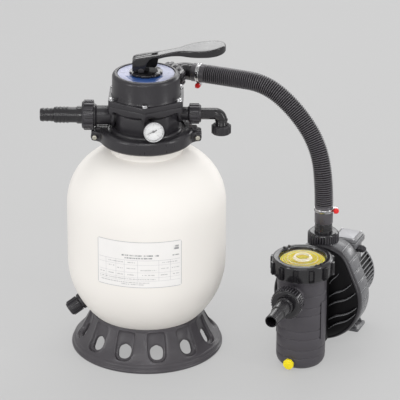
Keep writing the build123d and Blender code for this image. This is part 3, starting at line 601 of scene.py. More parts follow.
def label_film():
    """Silvery film with a printed border and a ruled table whose words are only grey dashes."""
    finish = Finish("label_film")
    u, v, _ = finish.parts(finish.node("ShaderNodeUVMap", {"uv_map": "film"}))

    def band(value, middle, half, along, first, last):
        return (along > first) * (along < last) * (abs(value - middle) < half)

    def dashes(height, first, last, half=0.009):
        line = finish.node("ShaderNodeCombineXYZ", None, {"X": u, "Y": height * 9.0})
        letters = finish.node(
            "ShaderNodeTexNoise", {"noise_dimensions": "2D"},
            {"Vector": line, "Scale": 95.0, "Detail": 1.0},
        )
        return band(v, height, half, u, first, last) * (letters > 0.45)

    top, foot = 0.60, 0.15
    rules = band(v, top, 0.0035, u, 0.02, 0.98)
    for height in (0.50, 0.335, 0.225, foot):
        rules = rules + band(v, height, 0.0025, u, 0.02, 0.98)
    for side in (0.11, 0.235, 0.335, 0.49, 0.73, 0.865):
        rules = rules + band(u, side, 0.0018, v, foot, top)
    heading = dashes(0.705, 0.30, 0.73, 0.016) + dashes(0.648, 0.34, 0.66, 0.014)
    words = heading
    for height, first, last in (
        (0.55, 0.14, 0.32), (0.55, 0.36, 0.46), (0.55, 0.77, 0.95), (0.45, 0.13, 0.22),
        (0.415, 0.25, 0.32), (0.42, 0.36, 0.47), (0.385, 0.52, 0.70), (0.42, 0.75, 0.85),
        (0.42, 0.88, 0.97), (0.28, 0.03, 0.09), (0.28, 0.13, 0.22), (0.28, 0.25, 0.32),
        (0.28, 0.36, 0.47), (0.28, 0.54, 0.68), (0.28, 0.75, 0.84), (0.28, 0.88, 0.97),
        (0.187, 0.03, 0.70), (0.11, 0.04, 0.62), (0.07, 0.30, 0.56),
    ):
        words = words + dashes(height, first, last) * 0.6
    stamp = dashes(0.88, 0.90, 0.965, 0.02) + dashes(0.83, 0.90, 0.965, 0.02)
    stamp = stamp + dashes(0.69, 0.89, 0.97, 0.012)
    border = finish.maths("MAXIMUM", abs(u - 0.5) > 0.4935, abs(v - 0.5) > 0.489)
    cloud = finish.noise(30, 3)
    film = finish.mix(cloud, grey(236, 234, 232), grey(243, 241, 239))
    film = finish.mix(finish.clamped(rules) * 0.55, film, grey(150, 149, 154))
    film = finish.mix(finish.clamped(words + stamp * 1.3) * 0.75, film, grey(92, 92, 98))
    film = finish.mix(border * 0.8, film, grey(165, 165, 168))
    return finish.paint(film, 0.36 + (cloud - 0.5) * 0.1)


def dial_face():
    """White enamel with a hair of grey."""
    finish = Finish("dial_face")
    cloud = finish.noise(6, 3)
    finish.bump(cloud, 0.01)
    white = finish.mix(cloud, grey(236, 237, 238), grey(248, 248, 247))
    return finish.paint(white, 0.45 + (cloud - 0.5) * 0.1)


def windings():
    """Lacquered copper turns."""
    finish = Finish("windings", Metallic=0.8)
    turns = finish.node(
        "ShaderNodeTexWave", {"wave_type": "RINGS", "rings_direction": "SPHERICAL"},
        {"Vector": finish.where(place=SHAFT), "Scale": 260.0, "Distortion": 1.5},
    )
    finish.bump(turns, 0.2)
    copper = finish.mix(turns, (0.10, 0.028, 0.01, 1), (0.55, 0.22, 0.08, 1))
    return finish.paint(copper, 0.3 + turns * 0.2)


def laminations():
    """A stack of dull steel sheets."""
    finish = Finish("laminations", Metallic=1.0)
    depth = finish.parts(finish.where(place=SHAFT))[2]
    sheets = finish.maths("FRACT", depth * 1400.0) > 0.5
    rust = finish.noise(8, 4)
    base = finish.mix(rust, (0.20, 0.19, 0.19, 1), (0.34, 0.31, 0.29, 1))
    finish.bump(sheets, 0.05)
    steel = finish.mix(sheets * 0.3, base, (0.1, 0.1, 0.1, 1))
    return finish.paint(steel, 0.5 + (rust - 0.5) * 0.3)


# A colour setting or a fixed colour, its factor, the roughness, and what else is its own.
MOULDED = {
    "gloss_black": ("black", 1.0, 0.18, {"Specular_IOR_Level": 0.62}),
    "satin_black": ("black", 1.9, 0.31, {"grain": 0.05}),
    # A lighter copy of the fittings' black: painted highlight on the union nuts' grip ribs.
    "rib_black": ("black", 3.0, 0.24, {}),
    # A darker copy of the fittings' black with its reflection turned down: painted shade for
    # recesses, holes, slots and parts that lie in shadow.
    "deep_black": ("black", 0.3, 0.5, {"Specular_IOR_Level": 0.1}),
    # The stand's strong mottle of tone stands partly for painted blotchy sheen.
    "stand_plastic": ("stand", 1.0, 0.34, {"mottle": 0.28, "grain": 0.07}),
    "pot_plastic": ("pot", 1.0, 0.42, {"grain": 0.05}),
    "shroud_plastic": ("shroud", 1.0, 0.27, {"grain": 0.04}),
    "motor_paint": ("motor", 1.0, 0.3, {}),
    # The hose's black made several times lighter: painted sheen on the hose's ribs.
    "hose_rubber": ("hose", 5.4, 0.3, {"grain": 0.01}),
    "plug_yellow": ("yellow", 1.0, 0.32, {"mottle": 0.04}),
    "basket_yellow": (
        "yellow", 1.0, 0.38,
        {"mottle": 0.05, "Subsurface_Weight": 0.25, "Subsurface_Scale": 0.01},
    ),
    "screw_red": ("red", 1.0, 0.3, {"mottle": 0.08}),
    # Pale top plate of the terminal lid: partly the plate's own colour, partly painted light from
    # above.
    "lid_white": ("lid", 1.0, 0.35, {"mottle": 0.03}),
    "seal_rubber": ((0.02, 0.02, 0.021), 1.0, 0.6, {}),
    "inner_plastic": ((0.42, 0.43, 0.45), 1.0, 0.42, {}),
    "dial_ink": ((0.02, 0.02, 0.025), 1.0, 0.5, {"mottle": 0.1}),
    "plate_ink": ((0.015, 0.03, 0.12), 1.0, 0.4, {"mottle": 0.1}),
    "bezel": ((0.55, 0.55, 0.56), 1.0, 0.3, {}),
}
METALS = {
    "bright_steel": ((0.68, 0.68, 0.69), 0.24),
    "zinc_bolt": ((0.62, 0.6, 0.52), 0.33),
    "brass_nut": ((0.72, 0.62, 0.22), 0.32),
}
CLEAR = {
    "clear_lid": ((0.95, 0.9, 0.7, 1), 0.06, 0.07),
    "boss_plastic": ((0.93, 0.88, 0.78, 1), 0.12, 0.5),
    "gauge_glass": ((0.99, 0.99, 0.99, 1), 0.05, 0.12),
}
PATTERNED = {
    maker.__name__: maker
    for maker in (tank_skin, index_face, label_film, dial_face, windings, laminations)
}


def material(name):
    """A finish by name, made the first time that it is asked for."""
    if name in bpy.data.materials:
        return bpy.data.materials[name]
    if name in MOULDED:
        colour, factor, roughness, more = MOULDED[name]
        colour = getattr(palette(), colour) if isinstance(colour, str) else colour
        return moulded(name, shade(colour, factor), roughness, **more)
    if name in METALS:
        return metal(name, *METALS[name])
    if name in CLEAR:
        return clear_plastic(name, *CLEAR[name])
    return PATTERNED[name]()


# ---------------------------------------------------------------- settings
def colour_setting(name, description, default):
    return bpy.props.FloatVectorProperty(
        name=name, description=description, subtype="COLOR", size=4, min=0, max=1, default=default
    )


def length_setting(name, description, default):
    return bpy.props.FloatProperty(
        name=name, description=description, unit="LENGTH", subtype="DISTANCE", default=default
    )


class FilterColours(bpy.types.PropertyGroup):
    tank: colour_setting("Tank", "Off-white of the filter tank", (0.87, 0.84, 0.80, 1))
    black: colour_setting(
        "Fittings", "Black of the valve, nuts and hose tails", (0.0135, 0.0125, 0.0145, 1)
    )
    stand: colour_setting("Stand", "Charcoal of the filter stand", (0.062, 0.057, 0.064, 1))
    pot: colour_setting(
        "Strainer pot", "Dark grey of the strainer pot and foot", (0.06, 0.055, 0.064, 1)
    )
    shroud: colour_setting("Shroud", "Grey of the motor bracket's shroud", (0.13, 0.13, 0.137, 1))
    motor: colour_setting("Motor", "Silver grey of the motor and its cowl", (0.27, 0.27, 0.28, 1))
    # The hose's finish lightens this black as painted sheen.
    hose: colour_setting("Hose", "Black of the ribbed hose", (0.014, 0.013, 0.0145, 1))
    yellow: colour_setting(
        "Basket and plug", "Yellow of the basket and drain plug", (1.0, 0.8, 0.008, 1)
    )
    red: colour_setting("Clamp screws", "Red of the hose clamp screws", (0.75, 0.02, 0.02, 1))
    # This pale plate stands partly for painted light from above.
    lid: colour_setting("Terminal lid", "Pale plate on the terminal box", (0.42, 0.42, 0.44, 1))
    index: colour_setting(
        "Index plate", "Lavender grey of the position plate", (0.36, 0.38, 0.53, 1)
    )
    index_ring: colour_setting("Index ring", "Blue ring round the selector", (0.015, 0.06, 0.22, 1))


class FilterSizes(bpy.types.PropertyGroup):
    label_width: length_setting(
        "Label width", "Width of the film on the tank, round its curve", 0.217
    )
    label_height: length_setting("Label height", "Height of the film on the tank", 0.123)
    label_low: length_setting("Label foot", "Height of the film's lower edge", 0.243)
    hose_pitch: length_setting("Hose pitch", "Distance between two ribs of the hose", 0.0054)
    hose_rib: length_setting("Hose rib", "How far a rib stands out of the hose", 0.0026)
    stand_windows: bpy.props.IntProperty(
        name="Stand windows", description="Windows round the filter stand", default=12,
        min=3, max=40,
    )


class StageSettings(bpy.types.PropertyGroup):
    elevation: bpy.props.FloatProperty(
        name="Camera elevation", description="How far the camera looks down", subtype="ANGLE",
        default=math.radians(23.4),
    )
    distance: length_setting("Camera distance", "From the camera to what it looks at", 6.2)
    aim_side: length_setting("Aim to the side", "What the camera looks at, along X", 0.1342)
    aim_height: length_setting("Aim height", "What the camera looks at, above the floor", 0.3937)
    lens: bpy.props.FloatProperty(
        name="Lens", description="Focal length in millimetres", default=222.0, min=10
    )
    roll: bpy.props.FloatProperty(
        name="Camera roll", description="How far the camera tips to the left", subtype="ANGLE",
        default=math.radians(0.3),
    )
    backdrop: colour_setting(
        "Backdrop", "Plain grey of floor and backdrop", (0.575, 0.575, 0.575, 1)
    )
    glow: bpy.props.FloatProperty(
        name="Floor glow", description="Share of the floor that the camera sees without shadow",
        default=0.7, min=0, max=1,
    )
    fill: bpy.props.FloatProperty(
        name="Fill", description="Strength of the even light", default=0.74, min=0
    )


def palette():
    return bpy.context.scene.filter_colours


def sizes():
    return bpy.context.scene.filter_sizes


def stage_settings():
    return bpy.context.scene.filter_stage


# ---------------------------------------------------------------- filter tank
TANK_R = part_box("tank_shell")[1].x / MM
TANK_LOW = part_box("tank_shell")[0].z / MM + TANK_R
TANK_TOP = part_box("tank_shell")[1].z / MM
TANK_SIDE = 391.0
TANK_WALL = 5.0
CROWN_R = 145.0


def tank_outline(side, neck):
    """Low dome, straight side and crown of the tank as (height, radius), out to its neck."""
    inset = TANK_R - CROWN_R
    crown = side - inset
    turn = math.degrees(math.acos((neck - inset) / crown))
    low = circle_points(side, -90, 0, 22, (0, TANK_LOW))
    high = circle_points(crown, 0, turn, 16, (inset, TANK_SIDE))
    return [(height, abs(radius) if radius > 0.01 else 0) for radius, height in low + high]


def tank_radius(height):
    """Outside radius of the tank's lower half at a height, in millimetres."""
    drop = max(0.0, TANK_LOW - height)
    return math.sqrt(TANK_R**2 - drop**2)


class FILTER_OT_tank(bpy.types.Operator):
    """Turn the tank shell with its neck and flange"""

    bl_idname = "filter_set.tank"
    bl_label = "Tank"

    def execute(self, context):
        outline = tank_outline(TANK_R, 90)
        outline += [(TANK_TOP - 14, 90), (TANK_TOP - 14, 105), (TANK_TOP, 105), (TANK_TOP, 76)]
        outline += reversed(tank_outline(TANK_R - TANK_WALL, 76))
        Piece("tank", "tank_skin").turn(outline, 128).done("tank_shell", smooth=40)
        return {"FINISHED"}


class FILTER_OT_label(bpy.types.Operator):
    """Lay the printed film on the tank"""

    bl_idname = "filter_set.label"
    bl_label = "Label film"

    def execute(self, context):
        width, height, foot = sizes().label_width, sizes().label_height, sizes().label_low
        facing = math.radians(-94.5)
        cuts = 44
        film = prism(rounded_rectangle(width / MM, height / MM, 5), 0.25, 0.5)
        for number in range(1, cuts):
            bmesh.ops.bisect_plane(
                film, geom=film.verts[:] + film.edges[:] + film.faces[:],
                plane_co=((number / cuts - 0.5) * width, 0, 0), plane_no=(1, 0, 0),
            )
        chart = film.loops.layers.uv.new("film")
        for face in film.faces:
            for corner in face.loops:
                place = corner.vert.co
                corner[chart].uv = (place.x / width + 0.5, place.y / height + 0.5)
        for corner in film.verts:
            tall = foot + corner.co.y + height / 2
            turn = facing + corner.co.x / (TANK_R * MM)
            out = tank_radius(tall / MM) * MM + corner.co.z
            corner.co = (out * math.cos(turn), out * math.sin(turn), tall)
        Piece("label_film", "label_film").add(film).done(body="base", smooth=60)
        return {"FINISHED"}


# ---------------------------------------------------------------- filter stand
# (height, radius) down the outside of the stand's flared skirt.
SKIRT = [(17, 188), (24, 180), (40, 166), (60, 154), (85, 144.5), (97.5, 141)]
SKIRT_RUN = 94.6
WINDOW_MIDDLE = 40.0
# Rings from a window's edge out to the plain skirt: half width, reach down, reach up, how square
# the loop is below and above, and how deep it lies.
WINDOW_RINGS = (
    (17.4, 18.2, 15.4, 2.3, 2.3, 2.5),
    (17.6, 18.4, 15.8, 2.3, 2.3, 1.1),
    (19.2, 20.0, 17.4, 2.3, 2.3, 1.0),
    (21.6, 24.6, 45.0, 2.5, 6.0, 1.0),
    (22.8, 26.6, 47.0, 2.6, 6.5, 0.55),
    (23.8, 28.0, 48.6, 2.7, 7.0, -0.2),
    (25.2, 29.2, 49.8, 2.8, 7.0, -0.26),
    (27.4, 31.0, 51.4, 3.0, 7.5, 0.0),
)


def skirt_place(run):
    """(height, radius, lean) on the stand's flared skirt at a distance up its slope."""
    for (low, wide), (high, narrow) in zip(SKIRT, SKIRT[1:]):
        span = math.hypot(high - low, wide - narrow)
        if run <= span or high == SKIRT[-1][0]:
            share = run / span
            lean = math.atan2(wide - narrow, high - low)
            return low + (high - low) * share, wide + (narrow - wide) * share, lean
        run -= span


def skirt_cell(windows):
    """One window of the stand in its moulded pocket, out to half way to its neighbours."""
    shape = bmesh.new()
    turn = shape.verts.layers.float.new("turn")
    ring = bmesh.ops.create_circle(shape, segments=48, radius=1.0)["verts"]
    for corner in ring:
        corner[turn] = math.atan2(corner.co.y, corner.co.x)
    edges = shape.edges[:]
    for number, (wide, down, up, square_low, square_high, sunk) in enumerate(WINDOW_RINGS):
        if number:
            edges = bmesh.ops.extrude_edge_only(shape, edges=edges)["geom"]
            ring = [item for item in edges if isinstance(item, bmesh.types.BMVert)]
            edges = [item for item in edges if isinstance(item, bmesh.types.BMEdge)]
        for corner in ring:
            c, s = math.cos(corner[turn]), math.sin(corner[turn])
            power = 2 / (square_high if s > 0 else square_low)
            side = wide * math.copysign(abs(c) ** power, c)
            run = WINDOW_MIDDLE + (up if s > 0 else down) * math.copysign(abs(s) ** power, s)
            corner.co = (side / skirt_place(run)[1], run, sunk)
    border = bmesh.ops.extrude_edge_only(shape, edges=edges)["geom"]
    for corner in [item for item in border if isinstance(item, bmesh.types.BMVert)]:
        c, s = math.cos(corner[turn]), math.sin(corner[turn])
        reach = max(abs(c), abs(s))
        room = SKIRT_RUN - WINDOW_MIDDLE if s > 0 else WINDOW_MIDDLE
        corner.co = (c / reach * math.pi / windows, WINDOW_MIDDLE + s / reach * room, 0)
    for corner in shape.verts:
        heading, run, sunk = corner.co
        height, radius, lean = skirt_place(run)
        depth = sunk * (6.5 - run * 0.02)
        radius -= depth * math.cos(lean)
        height -= depth * math.sin(lean)
        corner.co = Vector((radius * math.cos(heading), radius * math.sin(heading), height)) * MM
    return shape


class FILTER_OT_stand(bpy.types.Operator):
    """Mould the stand: a flared skirt with windows between a stepped foot and a top lip"""

    bl_idname = "filter_set.stand"
    bl_label = "Filter stand"

    def execute(self, context):
        windows = sizes().stand_windows
        skirt = ring_of(skirt_cell(windows), windows, first=-79.8)
        bmesh.ops.remove_doubles(skirt, verts=skirt.verts, dist=0.02 * MM)
        bmesh.ops.recalc_face_normals(skirt, faces=skirt.faces)
        outward = sum(
            face.calc_area() * face.normal.dot(face.calc_center_median() * Vector((1, 1, 0)))
            for face in skirt.faces
        )
        if outward < 0:
            bmesh.ops.reverse_faces(skirt, faces=skirt.faces)
        bmesh.ops.solidify(skirt, geom=skirt.faces, thickness=3.0 * MM)
        bmesh.ops.recalc_face_normals(skirt, faces=skirt.faces)
        foot = [
            (0, 172), (0, 191), (2, 193.2), (6, 193.2), (8.6, 191.5), (9.6, 189.4), (14, 189.0),
            (17.5, 188.2), (21, 184), (21, 178), (8, 181), (8, 172),
        ]
        lip = [(90, 138.5), (90, 143.2), (97, 141.8), (98.4, 140.3), (93, 134.6), (88, 134.6)]
        stand = Piece("filter_stand_moulding", "stand_plastic").add(subdivided(skirt))
        stand.turn(foot, 112, 0.9).turn(lip, 112, 0.5).done("filter_stand", smooth=50)
        return {"FINISHED"}


class FILTER_OT_drain(bpy.types.Operator):
    """Turn the drain outlet at the tank's foot and its ribbed cap"""

    bl_idname = "filter_set.drain"
    bl_label = "Tank drain"

    def execute(self, context):
        spout = [(-10, 8), (-10, 20), (7, 20), (9.6, 18), (9.6, 14), (36, 14), (36, 8)]
        outlet = Piece("drain_spout", "satin_black", DRAIN).turn(spout, 48, 0.8)
        outlet.add(ribs(10, (4, 3, 9), 19.5, 3, 0.8)).done("drain_outlet")
        body = [
            (10.3, 14.3), (36, 14.3), (36, 0), (43, 0), (43, 13), (41.5, 16.6), (39, 17.6),
            (10.3, 17.6),
        ]
        cap = Piece("drain_cap_ribbed", "satin_black", DRAIN).turn(body, 48, 0.6)
        cap.add(ribs(12, (4, 4.5, 27), 18, 24.5, 1.0)).done("drain_cap")
        return {"FINISHED"}


# ---------------------------------------------------------------- neck clamp
CLAMP_BOLT = (128, 571)


class FILTER_OT_clamp(bpy.types.Operator):
    """Make the two halves of the neck clamp with their ears, and the bolts through them"""

    bl_idname = "filter_set.clamp"
    bl_label = "Neck clamp"

    def execute(self, context):
        bolt_out, bolt_height = CLAMP_BOLT
        rim = [
            (-18, 96), (-18, 112), (-13, 117), (12, 117), (16.5, 114.5), (18, 111), (18, 96),
            (14, 98), (14, 105.3), (-14, 105.3), (-14, 98),
        ]
        lobe = [
            (98, 0.8), (133, 0.8), (136.5, 4), (136.5, 11), (133, 15.5), (124, 18.5), (116, 25),
            (111, 34), (98, 38),
        ]
        pad = [(99, 1.2), (127, 1.2), (124, 12), (99, 14)]
        for half_name, sign, first in (("front", -1, 180.8), ("rear", 1, 0.8)):
            half = Piece("clamp_" + half_name, "satin_black")
            half.add(lathe(rim, 64, 1.2, 3, first, first + 178.4), place=at(z=TANK_TOP))
            for side in (-1, 1):
                half.add(prism([(side * x, sign * y) for x, y in lobe], 559, 585, 2.4, 3))
                face = Vector((side * bolt_out, sign * 2, bolt_height)) * MM
                half.turn(tube(0, 17, 9.5), 32, 1.2, place=stand_on(face, (0, sign, 0)))
                half.add(prism([(side * x, sign * y) for x, y in pad], 583, 593, 1.2))
            half.done("clamp_half_" + half_name)
        bolts = Piece("clamp_bolt_pair", "zinc_bolt")
        for side in (-1, 1):
            place = stand_on(Vector((side * bolt_out, 0, bolt_height)) * MM, (0, 1, 0))
            bolts.turn(tube(-17, 24, 4), 20, 0.5, place=place)
            bolts.turn(tube(-19, -17, 7.5), 32, 0.4, place=place)
            bolts.add(prism(rounded_polygon(6, 5.5, 0.6), -25, -19, 0.7), place=place)
            bolts.add(prism(rounded_polygon(6, 5.8, 0.6), 19, 25, 0.7), "brass_nut", place)
        bolts.done("clamp_bolts")
        return {"FINISHED"}


# ---------------------------------------------------------------- multiport valve
COVER_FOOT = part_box("valve_cover")[0].z / MM
COVER_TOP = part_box("valve_cover")[1].z / MM
LUG_TURN = -91.0
LUG_OUT = 95.0


def lug_flange(low, high, width):
    """Six-sided flange whose round corners carry the cover's screws, open for the rotor."""
    return bored_prism(rounded_polygon(6, 91.5, 10.5, LUG_TURN, 6), low, high, 74, width)


def on_lugs(shape):
    return ring_of(moved(shape, at(LUG_OUT)), 6, LUG_TURN)


class FILTER_OT_valve_body(bpy.types.Operator):
    """Build the valve body: base flange, eight-sided wall, lug flange and its four ports"""

    bl_idname = "filter_set.valve_body"
    bl_label = "Valve body"

    def execute(self, context):
        base = [
            (TANK_TOP, 0), (TANK_TOP, 104), (588, 104), (589, 92), (591, 89), (595, 87.5),
            (596, 60), (596, 0),
        ]
        collar = [(638, 60), (638, 79), (647, 88.5), (654, 88.5), (654, 60)]
        body = Piece("valve_body_casting", "satin_black").turn(base, 96, 1.0)
        body.add(prism(rounded_polygon(8, 77, 22, -94, 6), 592, 650, 0.8))
        body.turn(collar, 96, 0.8).add(lug_flange(652.5, COVER_FOOT - 0.4, 1.3))
        body.add(on_lugs(lathe(tube(643, 653, 6.5, top=9.5), 24, 0.8)))
        body.turn(union_stub(84, 22, 18, 24, 13), 56, 0.8, place=RETURN)
        body.turn(flare(-66, -61, -56, 30, 24.5, 20), 56, 0.8, place=RETURN)
        body.turn(union_stub(61, 18, 15, 16.5, 11, 19.5), 48, 0.8, place=WASTE)
        body.turn(flare(-42, -37, -33, 22, 17, 14), 48, 0.8, place=WASTE)
        corner = pivot("port_nut_turn") - BACK * 28 * MM
        lean = (BACK * 54 + UP * 34).normalized()
        body.turn(tube(-76, 0, 24, 16), 48, place=stand_on(corner, lean))
        ball = [(-25, 0)] + [(z, r) for r, z in circle_points(25, -80, 80, 12)] + [(25, 0)]
        body.turn(ball, 48, place=stand_on(corner, UP))
        body.turn(union_stub(28, 20, 17, 24, 16), 48, 0.8, place=PORT)
        boss = [(70, 0), (70, 14), (84, 14), (90, 11), (96, 11), (96, 0)]
        body.turn(boss, 40, 0.8, place=GAUGE).done("valve_body")
        return {"FINISHED"}


class FILTER_OT_valve_cover(bpy.types.Operator):
    """Turn the domed cover with its lug flange, and set its hexagon screws"""

    bl_idname = "filter_set.valve_cover"
    bl_label = "Valve cover"

    def execute(self, context):
        outline = [
            (COVER_FOOT + 11, 60), (COVER_FOOT + 11, 88.5), (COVER_FOOT + 13.5, 86),
            (COVER_FOOT + 18, 84.6),
        ]
        outline += [(COVER_TOP - 9.5 + z, 74.5 + r) for r, z in circle_points(9.5, 0, 90, 8)]
        outline += [
            (COVER_TOP, 72.6), (COVER_TOP - 3, 72), (COVER_TOP - 3, 0), (700, 0), (700, 60),
        ]
        cover = Piece("valve_cover_moulding", "satin_black").turn(outline, 112)
        cover.add(lug_flange(COVER_FOOT + 0.4, COVER_FOOT + 13, 1.6))
        cover.add(on_lugs(lathe(tube(677, 678.6, 9.6, top=8.6), 28, 0.4)))
        cover.done("valve_cover", smooth=40)
        screws = Piece("cover_screw_set", "bright_steel")
        screws.add(on_lugs(lathe(tube(678, 679.4, 6.8), 28, 0.3)))
        screws.add(on_lugs(prism(rounded_polygon(6, 5.6, 0.6), 679.2, 685, 0.8)))
        screws.add(on_lugs(lathe(tube(657, 679, 3), 16)))
        screws.done("cover_screws")
        return {"FINISHED"}


class FILTER_OT_index_plate(bpy.types.Operator):
    """Lay the position plate in the cover, with plain numbers for its six positions"""

    bl_idname = "filter_set.index_plate"
    bl_label = "Index plate"

    def execute(self, context):
        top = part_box("index_plate")[1].z / MM
        plate = Piece("index_plate_printed", "index_face")
        plate.turn(tube(top - 1.5, top, 70.4, 20), 96, 0.3)
        for number in range(6):
            place = spin_z(number * 60 - 60) @ at(57.5, 0, top) @ spin_z(90)
            plate.add(numerals(str(number + 1), 10), "plate_ink", place)
        plate.done("index_plate", smooth=40)
        return {"FINISHED"}


def collar_outline(radius=41.0, flutes=8, depth=3.6, steps=128):
    """Round outline with shallow flutes."""
    outline = []
    for number in range(steps):
        turn = math.tau * number / steps
        reach = radius - depth * max(0.0, math.cos(flutes * turn - math.pi)) ** 5
        outline.append((reach * math.cos(turn), reach * math.sin(turn)))
    return outline


def handle_section(x, low, high, half):
    """Cross-section of the handle at x: upright sides under a flat top, with round corners."""
    corner = min(3.0, (high - low) * 0.3, half * 0.5)
    outline = rounded_rectangle(2 * half, high - low, corner)
    return [(x, side, (low + high) / 2 + tall) for side, tall in outline]


class FILTER_OT_selector(bpy.types.Operator):
    """Shape the selector: a fluted collar and a forked handle that ends in a broad paddle"""

    bl_idname = "filter_set.selector"
    bl_label = "Selector and handle"

    def execute(self, context):
        low, high = (corner.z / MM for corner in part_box("selector_collar"))
        collar = Piece("selector_collar_fluted", "gloss_black")
        collar.add(prism(collar_outline(), low, high - 1.6, 1.0))
        # A dark ring on the collar's top: painted shade under the handle's fork.
        collar.turn(tube(high - 2, high - 0.2, 30, top=28.5), 64, 0.5, "deep_black")
        collar.done("selector_collar", smooth=40)

        # (along the handle, underside, top, half width)
        stations = [
            (24, 773.3, 783.3, 17.4), (33.8, 775.6, 785.9, 16.6), (47.6, 779.2, 788.8, 15.4),
            (61.4, 781.1, 791.8, 14.6), (77.1, 782.2, 795.1, 15.2), (88.9, 782.8, 797.1, 18.8),
            (100.7, 783.3, 799.4, 25.8), (112.5, 784.1, 800.7, 31.8), (126.2, 785, 802, 36.4),
            (141, 785.7, 803.3, 38.2), (155.7, 786.3, 805.1, 37.6), (168.5, 787, 807.1, 34.2),
            (179.3, 788.1, 809, 28), (187.7, 789.6, 809.7, 20.5), (193.1, 791.6, 809, 12.5),
            (196, 794.3, 806.7, 5),
        ]
        cheek = [
            (-33.6, 742.2), (-7, 742.2), (-3, 744), (-1, 749.5), (0.5, 756.8), (4, 766),
            (9.5, 773.3), (18, 777.4), (33, 780.1), (36, 785.7), (0, 780.2), (-24, 775.7),
            (-31, 772.4), (-33.6, 766.9),
        ]
        web = [(-4, 754), (12, 752), (20, 752), (20, 780), (-4, 774)]
        bridge = [
            (-33.6, 763.7), (14, 763.7), (14, 782.8), (0, 779.9), (-24, 775.3), (-31, 772),
            (-33.6, 766.9),
        ]
        tongue = [(13, 755), (20, 750.4), (27, 755.9), (32, 780.6), (13, 780.6)]
        handle = Piece("handle_paddle", "gloss_black")
        handle.add(subdivided(loft([handle_section(*row) for row in stations])))
        for side in (-1, 1):
            handle.add(moved(prism(cheek, -5.75, 5.75, 1.6, 3), UPRIGHT), place=at(0, side * 12.1))
            outward = stand_on(Vector((-12, side * 17.4, 744)) * MM, (0, side, 0))
            handle.turn(tube(0, 1.4, 7.5, top=7), 28, 0.4, "satin_black", outward)
            # Thin dark webs inside the cheeks: painted shade under the handle.
            handle.add(moved(prism(web, -2, 2), UPRIGHT), "deep_black", at(0, side * 9))
        handle.add(moved(prism(bridge, -8, 8, 1.0), UPRIGHT))
        # The tongue takes the painted shade black, hiding its reflection under the fork.
        handle.add(moved(prism(tongue, -12, 12, 1.4), UPRIGHT), "deep_black")
        handle.done("handle", smooth=42)

        pin = Piece("handle_pin_ends", "bright_steel", stand_on(pivot("handle_press"), (0, 1, 0)))
        pin.turn(tube(-18.6, 18.6, 3), 24, 0.7).done("handle_pin")
        return {"FINISHED"}


# ---------------------------------------------------------------- pressure gauge
class FILTER_OT_gauge(bpy.types.Operator):
    """Turn the gauge's case, and mark its dial with plain ticks and numbers"""

    bl_idname = "filter_set.gauge"
    bl_label = "Pressure gauge"

    def execute(self, context):
        outline = [
            (78, 0), (78, 5), (96, 5), (96, 8), (104, 8), (104, 6), (107, 6), (107, 20), (110, 24),
            (119, 24.2), (119, 23.7), (109.6, 23.7), (109.6, 0),
        ]
        rim = [(118.5, 23.7), (118.5, 25), (124.4, 25), (125, 24.5), (124, 23.7)]
        case = Piece("gauge_case_turned", "satin_black", GAUGE).turn(outline, 72, 0.3)
        case.add(prism(rounded_polygon(6, 8, 0.8), 97, 103, 0.5), "brass_nut")
        case.turn(rim, 72, 0.2, "bezel").done("gauge_case")

        dial = Piece("gauge_dial_marked", "dial_face", GAUGE).turn(tube(115, 116, 23.5, 2.2), 64)
        ticks, face = 20, 116.05
        for number in range(ticks + 1):
            turn = spin_z(-45 - number * 270 / ticks)
            numbered = number % 5 == 0
            long, wide = (3.4, 0.55) if numbered else (1.8, 0.3)
            tick = brick(long, wide, 0.12, 0.02, 1)
            dial.add(moved(tick, turn @ at(21 - long / 2, 0, face)), "dial_ink")
            if numbered:
                spot = Matrix.Translation(turn @ Vector((14.6, 0, face)) * MM) @ spin_z(90)
                dial.add(numerals(str(number // 5), 3.8), "dial_ink", GAUGE @ spot)
        dial.done("gauge_dial")

        bulge = [(121.3, 0), (121.3, 23.5), (122.6, 23.5), (123.4, 18), (123.8, 9), (123.9, 0)]
        Piece("gauge_window", "gauge_glass", GAUGE).turn(bulge, 64).done("gauge_lens")
        return {"FINISHED"}


# ---------------------------------------------------------------- unions and hose tails
def union_nut(radius, stub, tail, grips, half):
    """Body, bed and grip ribs of a captive nut, its middle on its origin."""
    base = radius - 2.5
    body = [
        (-half, stub + 0.3), (-half, base - 1), (-half + 1, base), (half - 4, base),
        (half, base - 3), (half, tail + 0.3), (7.3, tail + 0.3), (7.3, stub + 0.3),
    ]
    bed = tube(1.8 - half, half - 4.8, base + 0.2, base - 3)
    width = math.pi * radius / grips
    size = (4, width, 2 * half - 6)
    return (
        lathe(body, 72, 0.7), lathe(bed, 72),
        ribs(grips, size, base + 0.5, -2, min(1.1, width * 0.3)),
    )


class FILTER_OT_nuts(bpy.types.Operator):
    """Turn every union nut with its grip ribs"""

    bl_idname = "filter_set.nuts"
    bl_label = "Union nuts"

    def execute(self, context):
        # Radius, stub and tail that it holds, number of ribs, half its length, and its finish.
        for name, place, *measures, finish in (
            ("return", RETURN, 37.5, 28, 22, 16, 15, "satin_black"),
            ("waste", WASTE, 25.5, 19.5, 14.5, 14, 15, "satin_black"),
            ("port", PORT, 37.5, 28, 22, 16, 15, "gloss_black"),
            ("suction", SUCTION, 39.8, 28, 22, 36, 16.5, "gloss_black"),
            ("discharge", DISCHARGE, 39.8, 28, 22, 36, 16.5, "gloss_black"),
        ):
            body, bed, grips = union_nut(*measures)
            nut = Piece(name + "_union_nut", finish, place).add(body).add(bed)
            # The grip ribs are lighter than the nut: painted highlight.
            nut.add(grips, "rib_black").done(name + "_nut")
        down = stand_on(pivot("waste_nut_turn") + Vector((65, 0, -16)) * MM, -UP)
        outline = [
            (12.5, 14.9), (12.5, 20.6), (15, 23), (34.5, 23), (36, 21.5), (36, 19.9),
            (16.7, 19.9), (16.7, 14.9),
        ]
        end = Piece("waste_end_nut_ribbed", "satin_black", down).turn(outline, 56, 0.7)
        end.add(ribs(12, (4.0, 5.5, 19), 22.8, 24.5, 1.1)).done("waste_end_nut")
        return {"FINISHED"}


